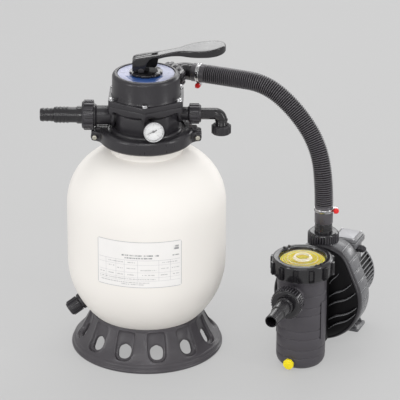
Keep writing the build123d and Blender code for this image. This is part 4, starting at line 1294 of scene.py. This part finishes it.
class FILTER_OT_tails(bpy.types.Operator):
    """Turn the stepped hose tails and the two elbows"""

    bl_idname = "filter_set.tails"
    bl_label = "Hose tails and elbows"

    def execute(self, context):
        outline = union_tail(
            (26, 22), (29, 19.4), (84, 19.2), (86, 16), (117, 16), (119, 14.8), (119, 13)
        )
        tail = Piece("return_tail_stepped", "gloss_black", RETURN).turn(outline, 64, 0.5)
        for starts, barb in (
            ((49, 58, 67, 76), (20.6, 19.0, 18)), ((88, 99, 110), (17.2, 15.6, 14.6))
        ):
            for start in starts:
                tail.turn(flare(start, start + 1.2, start + 8, *barb), 64, 0.3)
        tail.done("return_tail")

        outline = union_tail(
            (23, 22), (25.5, 19), (66, 19), (69, 16), (113.5, 16), (116, 14.6), (116, 13)
        )
        tail = Piece("suction_tail_stepped", "gloss_black", SUCTION)
        tail.add(lathe(outline, 64, 0.7, 3)).done("suction_tail")

        outline = union_tail((38, 22), (40, 20.5), (40, 19), (76, 19), (76, 16), bore=16)
        tail = Piece("discharge_tail_stepped", "gloss_black", DISCHARGE).turn(outline, 64, 0.6)
        tail.turn(tube(24, 28, 23.2, 21), 64, 0.6).done("discharge_tail")

        run = [(0, 11), (0, 19.5), (7, 19.5), (7, 14.5), (49, 14.5), (49, 11)]
        elbow = Piece("waste_elbow_bend", "gloss_black", WASTE).turn(run, 48, 0.5)
        start = pivot("waste_nut_turn") + EAST * 49 * MM
        elbow.add(quarter_bend(14.5, 11, 16), place=stand_on(start, EAST, side=-UP))
        drop = stand_on(start + Vector((16, 0, -16)) * MM, -UP)
        run = [
            (0, 11), (0, 14.5), (17, 14.5), (17, 19.5), (23, 19.5), (23, 16), (33, 16), (33, 11),
        ]
        elbow.turn(run, 48, 0.5, place=drop).turn(tube(-2, 3, 16, 12), 48, 0.5, place=drop)
        elbow.done("waste_elbow", smooth=45)

        run = union_tail((28, 22), (28, 16), bore=16)
        elbow = Piece("port_elbow_bend", "gloss_black", PORT).turn(run, 48, 0.5)
        start = stand_on(pivot("port_nut_turn") + BACK * 28 * MM, BACK, side=RIGHT)
        elbow.add(quarter_bend(22, 16, 26, 16), place=start)
        run = [(26, 16), (26, 22), (37.6, 22), (37.6, 19), (76, 19), (76, 16)]
        elbow.turn(run, 48, 0.5, place=stand_on(hose_corner(), RIGHT))
        elbow.done("port_elbow", smooth=45)
        return {"FINISHED"}


# ---------------------------------------------------------------- hose
HOSE_R = 0.0234
HOSE_BORE = 0.0192
CUFF_START = 0.036
CUFF_END = 0.046
# (share of the pitch, share of the rise) over one rib.
RIB_SHAPE = ((0.0, 0.0), (0.3, 0.1), (0.42, 0.85), (0.52, 1.0), (0.7, 1.0), (0.82, 0.8))


def hose_corner():
    """Where the pump port's elbow turns from the valve towards the pump."""
    return pivot("port_nut_turn") + BACK * 54 * MM


def hose_route():
    start = hose_corner() + RIGHT * 37.6 * MM
    inner = [(300, 108, 666), (376, 73, 607), (431, 38.5, 527), (447, 8, 430), (447, 8, 332)]
    return [start, start + RIGHT * 105 * MM] + [Vector(point) * MM for point in inner]


def smooth_line(route):
    """Points along the curve that a route's points pull into shape, evenly read off a spline."""
    curve = bpy.data.curves.new("route", "CURVE")
    curve.dimensions = "3D"
    curve.resolution_u = 40
    spline = curve.splines.new("NURBS")
    spline.points.add(len(route) - 1)
    for knot, place in zip(spline.points, route):
        knot.co = (*place, 1.0)
    spline.order_u = 3
    spline.use_endpoint_u = True
    shape = evaluated(curve)
    line = [corner.co.copy() for corner in shape.verts]
    shape.free()
    return line


class Rail:
    """Places along a line by distance, with a side that never twists."""

    def __init__(self, line):
        self.line = line
        self.reached = [0.0]
        for a, b in zip(line, line[1:]):
            self.reached.append(self.reached[-1] + (b - a).length)
        self.length = self.reached[-1]
        self.headings = [(b - a).normalized() for a, b in zip(line, line[1:])]
        self.headings.append(self.headings[-1])
        side = self.headings[0].orthogonal().normalized()
        self.sides = [side]
        for before, after in zip(self.headings, self.headings[1:]):
            side = before.rotation_difference(after) @ side
            self.sides.append(side)

    def at(self, distance):
        """(middle, side, other side) at a distance from the start."""
        index = 0
        while index < len(self.reached) - 2 and self.reached[index + 1] < distance:
            index += 1
        span = self.reached[index + 1] - self.reached[index]
        share = min(1.0, max(0.0, (distance - self.reached[index]) / span))
        middle = self.line[index].lerp(self.line[index + 1], share)
        heading = self.headings[index].lerp(self.headings[index + 1], share).normalized()
        side = self.sides[index].lerp(self.sides[index + 1], share)
        side = (side - heading * side.dot(heading)).normalized()
        return middle, side, heading.cross(side)


def sheath(rail, stations, sides=40):
    """A closed tube wall along a rail from a ring of (distance, radius) stations, in metres."""
    shape = bmesh.new()
    rings = len(stations)
    bmesh.ops.create_grid(shape, x_segments=rings, y_segments=sides, size=1.0)
    placed = [(rail.at(distance), radius) for distance, radius in stations]
    placed.append(placed[0])
    for corner in shape.verts:
        ring = round((corner.co.x + 1) / 2 * rings)
        turn = (corner.co.y + 1) * math.pi
        (middle, side, other), radius = placed[ring]
        corner.co = middle + (side * math.cos(turn) + other * math.sin(turn)) * radius
    bmesh.ops.remove_doubles(shape, verts=shape.verts, dist=2e-6)
    bmesh.ops.recalc_face_normals(shape, faces=shape.faces)
    return shape


def ribbed_wall(length, ribbed, valley):
    """(distance, radius) round the hose's wall: cuffs and ribs outside, then back in its bore."""
    cuff, crest, edge = HOSE_R - 0.0001, HOSE_R + 0.0003, HOSE_R - 0.0006
    wall = [(0.0, HOSE_BORE), (0.0, edge), (0.0008, cuff), (CUFF_START - 0.002, cuff)]
    count = round(ribbed / sizes().hose_pitch)
    pitch = ribbed / count
    for number in range(count):
        start = CUFF_START + number * pitch
        for share, rise in RIB_SHAPE:
            wall.append((start + share * pitch, valley + (crest - valley) * rise))
    wall += [
        (length - CUFF_END, valley), (length - CUFF_END + 0.002, cuff), (length - 0.0008, cuff),
        (length, edge), (length, HOSE_BORE),
    ]
    steps = 40
    return wall + [(length * (1 - step / steps), HOSE_BORE) for step in range(1, steps)]


class FILTER_OT_hose(bpy.types.Operator):
    """Form the ribbed hose along its route, with a plain cuff at each end"""

    bl_idname = "filter_set.hose"
    bl_label = "Connecting hose"

    def execute(self, context):
        line = smooth_line(hose_route())
        rail = Rail(line)
        ribbed = rail.length - CUFF_START - CUFF_END
        valley = HOSE_R - sizes().hose_rib
        steps = 110
        run = [CUFF_START + ribbed * step / steps for step in range(steps + 1)]
        # A dark sheath just above the valley floor, between the ribs: painted shade in the hose's
        # valleys.
        groove = [(place, valley + 0.0006) for place in run]
        groove += [(place, HOSE_BORE + 0.0004) for place in reversed(run)]
        hose = Piece("hose_ribbed", "hose_rubber")
        hose.add(sheath(rail, ribbed_wall(rail.length, ribbed, valley)))
        hose.add(sheath(rail, groove), "deep_black")
        piece = hose.done("hose", smooth=60)
        return {"FINISHED"}


class FILTER_OT_hose_clamps(bpy.types.Operator):
    """Wrap the two worm-drive bands round the hose ends and fit their red screws"""

    bl_idname = "filter_set.hose_clamps"
    bl_label = "Hose clamps"

    def execute(self, context):
        upper = stand_on(hose_corner() + RIGHT * 51 * MM, RIGHT, side=-UP)
        lower = stand_on(pivot("discharge_nut_turn") + UP * 71 * MM, UP, side=EAST)
        band = [(0, 23.5), (0, 24.6), (0.8, 25), (8.2, 25), (9, 24.6), (9, 23.5)]
        slant = at(24.9, 0, 4.5) @ Matrix.Rotation(0.25, 4, "X")
        bands = Piece("hose_clamp_pair", "bright_steel")
        for place in (upper, lower):
            bands.turn(band, 72, 0.2, place=place)
            # Dark marks in the band stand for its slots: painted shade in the holes.
            slot = moved(brick(0.5, 1.1, 5, 0.1, 1), slant)
            bands.add(ring_of(slot, 46), "deep_black", place)
            bands.add(moved(brick(10.5, 14, 9, 1.6, 3), at(29.8, 0, 4.5)), place=place)
            bands.add(moved(brick(1.6, 24, 9.4, 0.5), at(25.2, 0, 4.5)), place=place)
        bands.done("hose_clamp_bands")
        head = [(7.3, 0), (7.3, 5.6), (8.4, 6.2), (15.8, 6.2), (17, 5.2), (17, 0)]
        for end in ("upper", "lower"):
            node = "hose_screw_" + end
            screw = Piece("clamp_screw_" + end, "screw_red", on_joint(node + "_turn"))
            screw.turn(tube(-12, 7.3, 3), 24, 0.3, "bright_steel").turn(head, 32, 0.5)
            screw.add(ribs(12, (1.6, 1.6, 7.5), 6.3, 12, 0.4))
            screw.add(moved(brick(15.5, 2.6, 5.5, 1.0), at(z=14.6))).done(node)
        return {"FINISHED"}


# ---------------------------------------------------------------- pump strainer
POT_R = 61.8


class FILTER_OT_pot(bpy.types.Operator):
    """Turn the strainer pot with its grooves, suction stub and flank pads"""

    bl_idname = "filter_set.pot"
    bl_label = "Strainer pot"

    def execute(self, context):
        outline = [(0, 0), (0, 42), (1.4, 48), (5, 53.6), (11, 58.4), (18, 61), (25, POT_R)]
        for groove in (34, 56, 86, 109, 152, 174, 204):
            outline += [
                (groove - 1.6, POT_R), (groove - 0.9, POT_R - 1.3), (groove + 0.8, POT_R - 1.3),
                (groove + 1.2, POT_R),
            ]
        outline += [
            (237, POT_R), (240, 66), (275, 66), (276, 65), (276, 57.8), (20, 56.5), (9, 49),
            (6, 42), (6, 0),
        ]
        pot = Piece("strainer_pot_moulding", "pot_plastic", POT).turn(outline, 112, 0.45)
        for first, last in ((-19.3, 44), (136, 199.3)):
            pot.add(lathe(tube(80, 182, POT_R + 1.1, 58), 24, 0.9, 2, first, last))
            # A dark strip along each pad's edge is painted shade in the gap.
            slit = brick(2.0, 1.6, 101, 0.3)
            edge = first if first < 0 else last
            pot.add(moved(slit, spin_z(edge) @ at(POT_R, 0, 131)), "deep_black")
        # A dark block at the pot's back between the pads is painted shade.
        pot.add(moved(brick(90, 32, 192, 5, 3), at(6, 48, 136)), "deep_black")
        pot.turn(union_stub(60, 21, 17, 24, 19), 56, 0.8, place=SUCTION)
        pot.turn(flare(-46, -36, -31, 30, 25, 20), 56, 0.9, place=SUCTION)
        pot.turn(flare(50, 59, 64, 12.5, 11, 7), 36, 0.7, place=PLUG)
        pot.done("strainer_pot", smooth=40)
        plug = Piece("drain_plug_octagon", "plug_yellow", PLUG).turn(tube(52, 65, 6.7), 28, 0.4)
        plug.add(prism(rounded_polygon(8, 13.1, 3.0, 22.5), 64.3, 73.3, 1.4, 3))
        plug.turn(tube(72.8, 74.2, 7.5, top=6.5), 32, 0.4).done("pump_drain_plug")
        return {"FINISHED"}


def ring_lug():
    """One hollow grip lug of the lid ring, seen from outside as an upright frame."""
    lug = brick(7.0, 13, 32, 0.01, 1)
    outer = max(lug.faces, key=lambda face: face.calc_center_median().x)
    bmesh.ops.inset_region(lug, faces=[outer], thickness=3.4 * MM, depth=0)
    bmesh.ops.translate(lug, verts=outer.verts, vec=(-6.2 * MM, 0, 0))
    return round_edges(lug, 0.7, 2, 40)


class FILTER_OT_lid_ring(bpy.types.Operator):
    """Turn the lid's ring nut with its round rim, hollow lugs and snap pegs"""

    bl_idname = "filter_set.lid_ring"
    bl_label = "Lid ring nut"

    def execute(self, context):
        outline = [(250, 66.4), (250, 75.4), (251, 76)]
        outline += [(284 + z, 69 + r) for r, z in circle_points(7, 0, 90, 8)]
        outline += [(291, 63.5), (289.5, 59.5), (285, 57.6), (282.3, 57.6), (282.3, 66.4)]
        ring = Piece("lid_ring_nut", "gloss_black", POT).turn(outline, 112)
        ring.add(ring_of(moved(ring_lug(), at(77.4, 0, 267)), 12, 37))
        for heading in (140.5, 153.5, -39.5, -26.5):
            peg = brick(6, 4.5, 4.6, 0.9)
            ring.add(moved(peg, spin_z(heading) @ at(66.5, 0, 292)))
        ring.done("lid_ring", smooth=40)
        return {"FINISHED"}


class FILTER_OT_lid(bpy.types.Operator):
    """Turn the clear lid with its stepped rings and centre boss"""

    bl_idname = "filter_set.lid"
    bl_label = "Clear lid"

    def execute(self, context):
        outline = [
            (283, 0), (281.5, 20), (281.5, 56.8), (276, 57.2), (276, 64), (282, 64), (282, 57.2),
            (285, 56), (285.4, 44), (286, 26.5), (288, 25), (288, 16), (285.6, 15), (285.6, 0),
        ]
        lid = Piece("strainer_lid_clear", "clear_lid", POT).turn(outline, 96, 0.4)
        for low, high, inside, outside in (
            (286, 291.6, 16.5, 25), (285, 286.9, 37.2, 39), (284.5, 286.2, 48, 49)
        ):
            hoop = [
                (low, inside), (high - 0.8, inside + 0.4), (high, (inside + outside) / 2),
                (low, outside),
            ]
            lid.turn(hoop, 96, 0.3, "boss_plastic")
        lid.done("strainer_lid", smooth=50)
        return {"FINISHED"}


def slotted_wall(rows=11, columns=48, foot=113, height=112):
    """The basket's wall: a tapered tube with rows of slots between its posts."""
    wall = bmesh.new()
    bmesh.ops.create_grid(wall, x_segments=columns, y_segments=rows, size=1.0)
    holes = []
    for face in wall.faces:
        middle = face.calc_center_median()
        column, row = int((middle.x + 1) / 2 * columns), int((middle.y + 1) / 2 * rows)
        if row % 2 and column % 3 != 2:
            holes.append(face)
    bmesh.ops.delete(wall, geom=holes, context="FACES")
    for corner in wall.verts:
        turn = (corner.co.x + 1) * math.pi
        rise = (corner.co.y + 1) / 2 * height
        radius = 42.0 + 8.0 * rise / 153
        place = Vector((radius * math.cos(turn), radius * math.sin(turn), foot + rise))
        corner.co = place * MM
    bmesh.ops.remove_doubles(wall, verts=wall.verts, dist=1e-6)
    bmesh.ops.recalc_face_normals(wall, faces=wall.faces)
    bmesh.ops.solidify(wall, geom=wall.faces, thickness=2.2 * MM)
    bmesh.ops.recalc_face_normals(wall, faces=wall.faces)
    return wall


class FILTER_OT_basket(bpy.types.Operator):
    """Make the yellow basket: a slotted, tapered wall with a floor and a wide rim"""

    bl_idname = "filter_set.basket"
    bl_label = "Strainer basket"

    def execute(self, context):
        rim = [
            (224, 46), (224, 48.4), (263.5, 50.6), (266, 55), (279, 56.6), (280.6, 56.6),
            (280.6, 54.6), (271, 51.5), (262, 48.2),
        ]
        basket = Piece("strainer_basket_slotted", "basket_yellow", POT).add(slotted_wall())
        basket.turn(tube(110, 113.5, 42), 64, 0.6).turn(rim, 72, 0.6)
        basket.done("strainer_basket", smooth=40)
        return {"FINISHED"}


# ---------------------------------------------------------------- pump and motor
HOUSING_FACE = [(66, 62), (70, 82), (78, 99), (90, 110)]
# Where a volute rib leaves the pot's flank and meets the shroud's edge, above the shaft.
RIB_ENDS = ((60, 88), (24, 56), (-1, 32), (-40, -8), (-67, -26))
# Where round the shaft the scroll points at the discharge, in radians from straight up.
SCROLL_TURN = 1.152
SCROLL_PULL = 0.27


def scroll(shape):
    """Draws a shape round the shaft up towards the discharge, as the scroll of the housing goes."""
    for corner in shape.verts:
        radius = math.hypot(corner.co.x, corner.co.y)
        turn = math.atan2(corner.co.y, corner.co.x)
        if radius > 0.06 and -0.6 < turn < SCROLL_TURN:
            pull = 1 / math.cos(SCROLL_TURN - max(turn, 0)) - 1
            pull *= SCROLL_PULL / (pull**4 + SCROLL_PULL**4) ** 0.25 * min(1.0, 1 + turn / 0.6)
            share = 1 + pull * min(1.0, (radius - 0.06) / 0.04)
            corner.co = Vector((corner.co.x * share, corner.co.y * share, corner.co.z))
    return shape


def housing_depth(radius):
    """How far back the volute's front face lies at a radius from the shaft."""
    for (near, inner), (far, outer) in zip([(66, 0)] + HOUSING_FACE, HOUSING_FACE):
        if radius <= outer:
            return near + (far - near) * (radius - inner) / (outer - inner)
    return HOUSING_FACE[-1][0]


def volute_rib(start, finish, side):
    """One long S-shaped rib from the pot's flank to the shroud's edge; +Z is back and +X up."""
    reach = math.sqrt(109.0**2 - finish**2)
    sections = []
    for step in range(11):
        share = step / 10
        eased = share + 0.08 * math.sin(math.tau * share)
        up = start + (finish - start) * eased
        out = 44 + (reach - 44) * share
        front = min(86, housing_depth(math.hypot(up, out)) - 9.5)
        sections.append(
            [(up - 1, side * out, front), (up + 1, side * out, front),
             (up + 1, side * out, front + 15), (up - 1, side * out, front + 15)]
        )
    return round_edges(loft(sections), 0.6, 2, 40)


class FILTER_OT_volute(bpy.types.Operator):
    """Turn the pump's volute housing with its S-shaped ribs and discharge stub"""

    bl_idname = "filter_set.volute"
    bl_label = "Volute housing"

    def execute(self, context):
        outline = [(66, 30)] + HOUSING_FACE + [
            (98, 111.6), (150, 111.6), (150, 105), (104, 105), (94, 103), (84, 93), (77, 78),
            (74, 60), (74, 30),
        ]
        housing = Piece("volute_housing", "gloss_black", DISCHARGE)
        # The housing's body takes the painted shade black.
        housing.add(scroll(lathe(outline, 96, 0.8)), "deep_black", SHAFT)
        for side in (-1, 1):
            # The ribs take the shroud's grey as painted highlight on their edges.
            for ends in RIB_ENDS:
                housing.add(volute_rib(*ends, side), "shroud_plastic", SHAFT)
        housing.turn(union_stub(60, 26, 18, 24, 16), 56, 0.8)
        housing.turn(flare(-62, -56, -44, 38, 26, 22), 56, 1.0)
        housing.done("pump_housing", smooth=40)
        return {"FINISHED"}


class FILTER_OT_shroud(bpy.types.Operator):
    """Turn the motor bracket's shroud, with a black front lip and raised panels round its band"""

    bl_idname = "filter_set.shroud"
    bl_label = "Motor bracket and shroud"

    def execute(self, context):
        lip = [(90, 110.5), (90, 113.5), (93, 116), (99, 117.4), (102, 117.4), (102, 110.5)]
        band = [
            (100, 111.8), (100, 117), (158, 117), (164, 115.2), (168, 111), (168, 30), (172, 30),
            (172, 20), (162, 20), (162, 9), (150, 9), (150, 111.8),
        ]
        panel = lathe(tube(103, 157, 118, 116), 4, 0.5, 2, 0, 10.4)
        bar = lathe(tube(103, 157, 118.3, 116), 1, 0.4, 2, 11.2, 12.1)
        shroud = Piece("shroud_panelled", "shroud_plastic", SHAFT)
        shroud.add(scroll(lathe(lip, 112, 0.5)), "satin_black")
        shroud.add(scroll(lathe(band, 112, 0.8)))
        shroud.add(scroll(ring_of(panel, 28)))
        # The bars between the panels take the motor's lighter grey: painted highlight along the
        # panel joints.
        shroud.add(scroll(ring_of(bar, 28)), "motor_paint")
        shroud.done("motor_bracket", smooth=40)
        return {"FINISHED"}


def add_fins(piece, low, high, middle, length, width):
    """Adds a ring of fins, and the plain shells that cover them at both sides."""
    piece.add(ribs(48, (6, 1.5, length), 85, middle, 0.4))
    for first, last in ((-48, 48), (135, 225)):
        piece.add(lathe(tube(low, high, 87.8, 79), 28, width, 2, first, last))


class FILTER_OT_motor(bpy.types.Operator):
    """Turn the finned motor housing and the fan cowl behind it"""

    bl_idname = "filter_set.motor"
    bl_label = "Motor and cowl"

    def execute(self, context):
        core = [(158, 60), (158, 84), (272, 84), (272, 20), (262, 20), (262, 60)]
        ring = [(166, 79), (166, 87), (167.5, 88), (176.5, 88), (178, 87), (178, 79)]
        motor = Piece("motor_housing_finned", "motor_paint", SHAFT)
        # The core between the fins takes the painted shade black.
        motor.turn(core, 72, 0.6, "deep_black").turn(ring, 96, 0.6)
        add_fins(motor, 177, 272, 224, 96, 1.0)
        motor.done("motor_housing", smooth=40)

        outline = [
            (289, 84), (288, 88), (292, 88), (296, 86), (299.5, 81.5), (302, 72), (302, 0),
            (299, 0), (299, 70), (295, 80),
        ]
        cowl = Piece("fan_cowl_slotted", "motor_paint", SHAFT).turn(outline, 96, 0.5)
        # The tube under the cowl's fins is painted shade.
        cowl.turn(tube(272, 290, 84, 80), 72, finish="deep_black")
        add_fins(cowl, 272, 290, 281, 20, 0.6)
        for out, count in ((18, 6), (34, 10), (50, 16)):
            # Dark vent marks on the cowl's face: painted shade in the vents.
            cowl.add(ribs(count, (10, 4, 1.2), out, 301.8, 0.4), "deep_black")
        screw = lathe(tube(294, 297.5, 4, top=3.4), 20, 0.4)
        cowl.add(ring_of(moved(screw, at(77)), 4, 45), "bright_steel")
        cowl.done("fan_cowl", smooth=40)
        return {"FINISHED"}


class FILTER_OT_terminal_box(bpy.types.Operator):
    """Build the terminal box on the motor with its pale lid and cable gland"""

    bl_idname = "filter_set.terminal_box"
    bl_label = "Terminal box"

    def execute(self, context):
        middle = POT @ at(SHAFT_SIDE + 39, 211.5)
        box = Piece("terminal_box_moulding", "shroud_plastic", middle)
        box.add(prism(rounded_rectangle(56, 64, 6), 190, 264, 1.2))
        box.add(prism(rounded_rectangle(69, 76, 7), 248, 263, 3.0))
        box.done("terminal_box", smooth=40)
        lid = Piece("terminal_lid_plate", "shroud_plastic", middle)
        lid.add(prism(rounded_rectangle(65, 73, 6), 264.2, 271.5, 2.4, 3, taper=0.86))
        # The pale plate on the lid's top is partly painted light from above.
        lid.add(prism(rounded_rectangle(46, 54, 4), 271, 273, 0.8), "lid_white")
        for x, y in ((-25, -29), (-25, 29), (25, -29), (25, 29)):
            screw = lathe(tube(270, 272.4, 2.4, top=2.0), 16, 0.3)
            lid.add(moved(screw, at(x, y)), "bright_steel")
        lid.done("terminal_lid", smooth=40)
        outline = [
            (66, 3.5), (66, 6.5), (70, 6.5), (70, 9), (76, 9), (76, 8.2), (87, 8.2), (92, 5.4),
            (92, 3.5),
        ]
        place = stand_on(POT @ (Vector((SHAFT_SIDE, 198, 243)) * MM), RIGHT)
        gland = Piece("cable_gland_ribbed", "satin_black", place).turn(outline, 40, 0.4)
        gland.add(ribs(12, (1.6, 2, 9), 8.4, 81.5, 0.5))
        gland.add(prism(rounded_polygon(6, 9.4, 0.8), 70, 75.6, 0.5)).done("cable_gland")
        return {"FINISHED"}


class FILTER_OT_foot(bpy.types.Operator):
    """Build the motor's foot with its webs and gussets"""

    bl_idname = "filter_set.foot"
    bl_label = "Motor foot"

    def execute(self, context):
        foot = Piece("motor_foot_moulding", "shroud_plastic", POT @ at(SHAFT_SIDE + 3, 236))
        foot.add(prism(rounded_rectangle(146, 60, 5), 0, 8, 1.4))
        for hand in (-1, 1):
            foot.add(moved(brick(12, 50, 60, 1.6), at(hand * 34, 0, 34)))
            turned = UPRIGHT if hand > 0 else spin_z(180) @ UPRIGHT
            for shift in (-21, 21):
                gusset = prism([(0, 0), (29, 0), (0, 48)], -2.4, 2.4, 1.0)
                foot.add(moved(gusset, at(hand * 39, shift, 7) @ turned))
            eye = lathe(tube(7.6, 9.4, 9, 4.5, top=8.4), 32, 0.5)
            foot.add(moved(eye, at(hand * 53)), "pot_plastic")
            # A dark disc in each eye: painted shade in the bolt hole.
            foot.add(moved(lathe(tube(8.2, 8.35, 4.5), 24), at(hand * 53)), "deep_black")
        foot.done("motor_foot", smooth=40)
        return {"FINISHED"}


# ---------------------------------------------------------------- parts kept from the frame
class FILTER_OT_inner_parts(bpy.types.Operator):
    """Give their finishes to the parts that are kept as the frame holds them"""

    bl_idname = "filter_set.inner_parts"
    bl_label = "Inner parts"

    def execute(self, context):
        kept = {
            "inner_plastic": ("standpipe", "laterals", "valve_rotor", "impeller"),
            "seal_rubber": ("spider_gasket", "union_seals", "shaft_seal"),
            "bright_steel": ("valve_spring", "motor_shaft", "bearings"),
            "laminations": ("rotor_core",),
            "windings": ("stator",),
            # The fan takes the painted shade black, as it lies in the cowl's shadow.
            "deep_black": ("fan",),
            "gloss_black": ("valve_stem",),
            "dial_ink": ("gauge_needle",),
        }
        for finish, nodes in kept.items():
            for node in nodes:
                kept_part = frame["nodes"][node]
                kept_part.data.materials.clear()
                kept_part.data.materials.append(material(finish))
        return {"FINISHED"}


# ---------------------------------------------------------------- stage
class FILTER_OT_stage(bpy.types.Operator):
    """Set the plain floor, the soft studio light and the camera"""

    bl_idname = "filter_set.stage"
    bl_label = "Stage"

    def execute(self, context):
        settings = stage_settings()
        scene = context.scene
        scene.view_settings.view_transform = "Standard"

        backdrop = tuple(settings.backdrop)
        floor_shape = bmesh.new()
        bmesh.ops.create_circle(floor_shape, cap_ends=True, radius=14.0, segments=96)
        floor_mesh = bpy.data.meshes.new("floor")
        floor_shape.to_mesh(floor_mesh)
        floor_shape.free()
        floor = bpy.data.objects.new("floor", floor_mesh)
        scene.collection.objects.link(floor)
        finish = Finish("floor_paper", Roughness=0.9, Specular_IOR_Level=0.0)
        grain = finish.noise(400, 2)
        tone = finish.mix(grain, shade(backdrop, 0.998), shade(backdrop, 1.002))
        finish.feed(finish.shader, {"Base Color": tone})
        glow = finish.node("ShaderNodeEmission", None, {"Color": tone, "Strength": 1.0})
        seen = finish.plainly_seen() * settings.glow
        lit = Value(finish, finish.shader.outputs[0])
        mixed = finish.node("ShaderNodeMixShader", None, {0: seen, 1: lit, 2: glow})
        finish.feed(finish.tree.nodes["Material Output"], {"Surface": mixed})
        floor_mesh.materials.append(finish.material)

        world = bpy.data.worlds.new("studio")
        scene.world = world
        world.use_nodes = True
        sky = Nodes(world.node_tree)
        even = {"Color": (1, 1, 1, 1), "Strength": settings.fill}
        plain = sky.node("ShaderNodeBackground", None, even)
        shown = sky.node("ShaderNodeBackground", None, {"Color": backdrop, "Strength": 1.0})
        mixed = sky.node("ShaderNodeMixShader", None, {0: sky.plainly_seen(), 1: plain, 2: shown})
        sky.feed(world.node_tree.nodes["World Output"], {"Surface": mixed})

        aim = Vector((settings.aim_side, 0, settings.aim_height))
        for name, place, wide, tall, power in (
            ("left_strip", (-3.4, -2.6, 1.7), 0.5, 3.0, 36),
            ("right_strip", (3.9, -1.7, 1.7), 0.4, 3.0, 36),
            ("back_box", (1.0, 4.0, 2.4), 5.0, 1.2, 50),
            ("corner_box", (5.6, 4.8, 1.6), 2.2, 2.3, 70),
            ("top_box", (0.2, 1.7, 3.6), 2.4, 1.0, 36),
            ("front_bar", (0.2, -3.4, 3.4), 2.4, 0.4, 30),
            ("key_strip", (-2.1, -5.0, 2.3), 0.3, 1.6, 20),
            ("low_bar", (0.1, -6.8, 1.1), 4.0, 0.8, 24),
        ):
            lamp = bpy.data.lights.new(name, "AREA")
            lamp.shape = "RECTANGLE"
            lamp.size = wide
            lamp.size_y = tall
            lamp.energy = power
            holder = bpy.data.objects.new(name, lamp)
            holder.location = place
            holder.rotation_euler = (aim - Vector(place)).to_track_quat("-Z", "Y").to_euler()
            holder.visible_camera = False
            scene.collection.objects.link(holder)

        camera = bpy.data.cameras.new("camera")
        camera.lens = settings.lens
        camera.sensor_width = 36.0
        camera.clip_end = 100.0
        eye = bpy.data.objects.new("camera", camera)
        back = Vector((0, -math.cos(settings.elevation), math.sin(settings.elevation)))
        eye.location = aim + back * settings.distance
        facing = (-back).to_track_quat("-Z", "Y").to_matrix()
        eye.rotation_euler = (facing @ Matrix.Rotation(settings.roll, 3, "Z")).to_euler()
        scene.collection.objects.link(eye)
        scene.camera = eye
        return {"FINISHED"}


# ---------------------------------------------------------------- panel and main
OPERATORS = (
    FILTER_OT_stage, FILTER_OT_hose, FILTER_OT_tank, FILTER_OT_label, FILTER_OT_stand,
    FILTER_OT_drain, FILTER_OT_clamp, FILTER_OT_valve_body, FILTER_OT_valve_cover,
    FILTER_OT_index_plate, FILTER_OT_selector, FILTER_OT_gauge, FILTER_OT_nuts, FILTER_OT_tails,
    FILTER_OT_hose_clamps, FILTER_OT_pot, FILTER_OT_lid_ring, FILTER_OT_lid, FILTER_OT_basket,
    FILTER_OT_volute, FILTER_OT_shroud, FILTER_OT_motor, FILTER_OT_terminal_box, FILTER_OT_foot,
    FILTER_OT_inner_parts,
)


class FILTER_PT_set(bpy.types.Panel):
    """Lists the pieces of the filter set in the order that they are built"""

    bl_idname = "FILTER_PT_set"
    bl_label = "Sand filter and pump"
    bl_space_type = "VIEW_3D"
    bl_region_type = "UI"
    bl_category = "Filter set"

    def draw(self, context):
        column = self.layout.column(align=True)
        for settings in (palette(), sizes(), stage_settings()):
            for name in settings.__annotations__:
                column.prop(settings, name)
            column.separator()
        for operator in OPERATORS:
            column.operator(operator.bl_idname)


CLASSES = (FilterColours, FilterSizes, StageSettings, *OPERATORS, FILTER_PT_set)


def register():
    for item in CLASSES:
        bpy.utils.register_class(item)
    bpy.types.Scene.filter_colours = bpy.props.PointerProperty(type=FilterColours)
    bpy.types.Scene.filter_sizes = bpy.props.PointerProperty(type=FilterSizes)
    bpy.types.Scene.filter_stage = bpy.props.PointerProperty(type=StageSettings)


def unregister():
    del bpy.types.Scene.filter_stage
    del bpy.types.Scene.filter_sizes
    del bpy.types.Scene.filter_colours
    for item in reversed(CLASSES):
        bpy.utils.unregister_class(item)


def main():
    register()
    for operator in OPERATORS:
        group, name = operator.bl_idname.split(".")
        getattr(getattr(bpy.ops, group), name)()


if __name__ == "__main__":
    main()
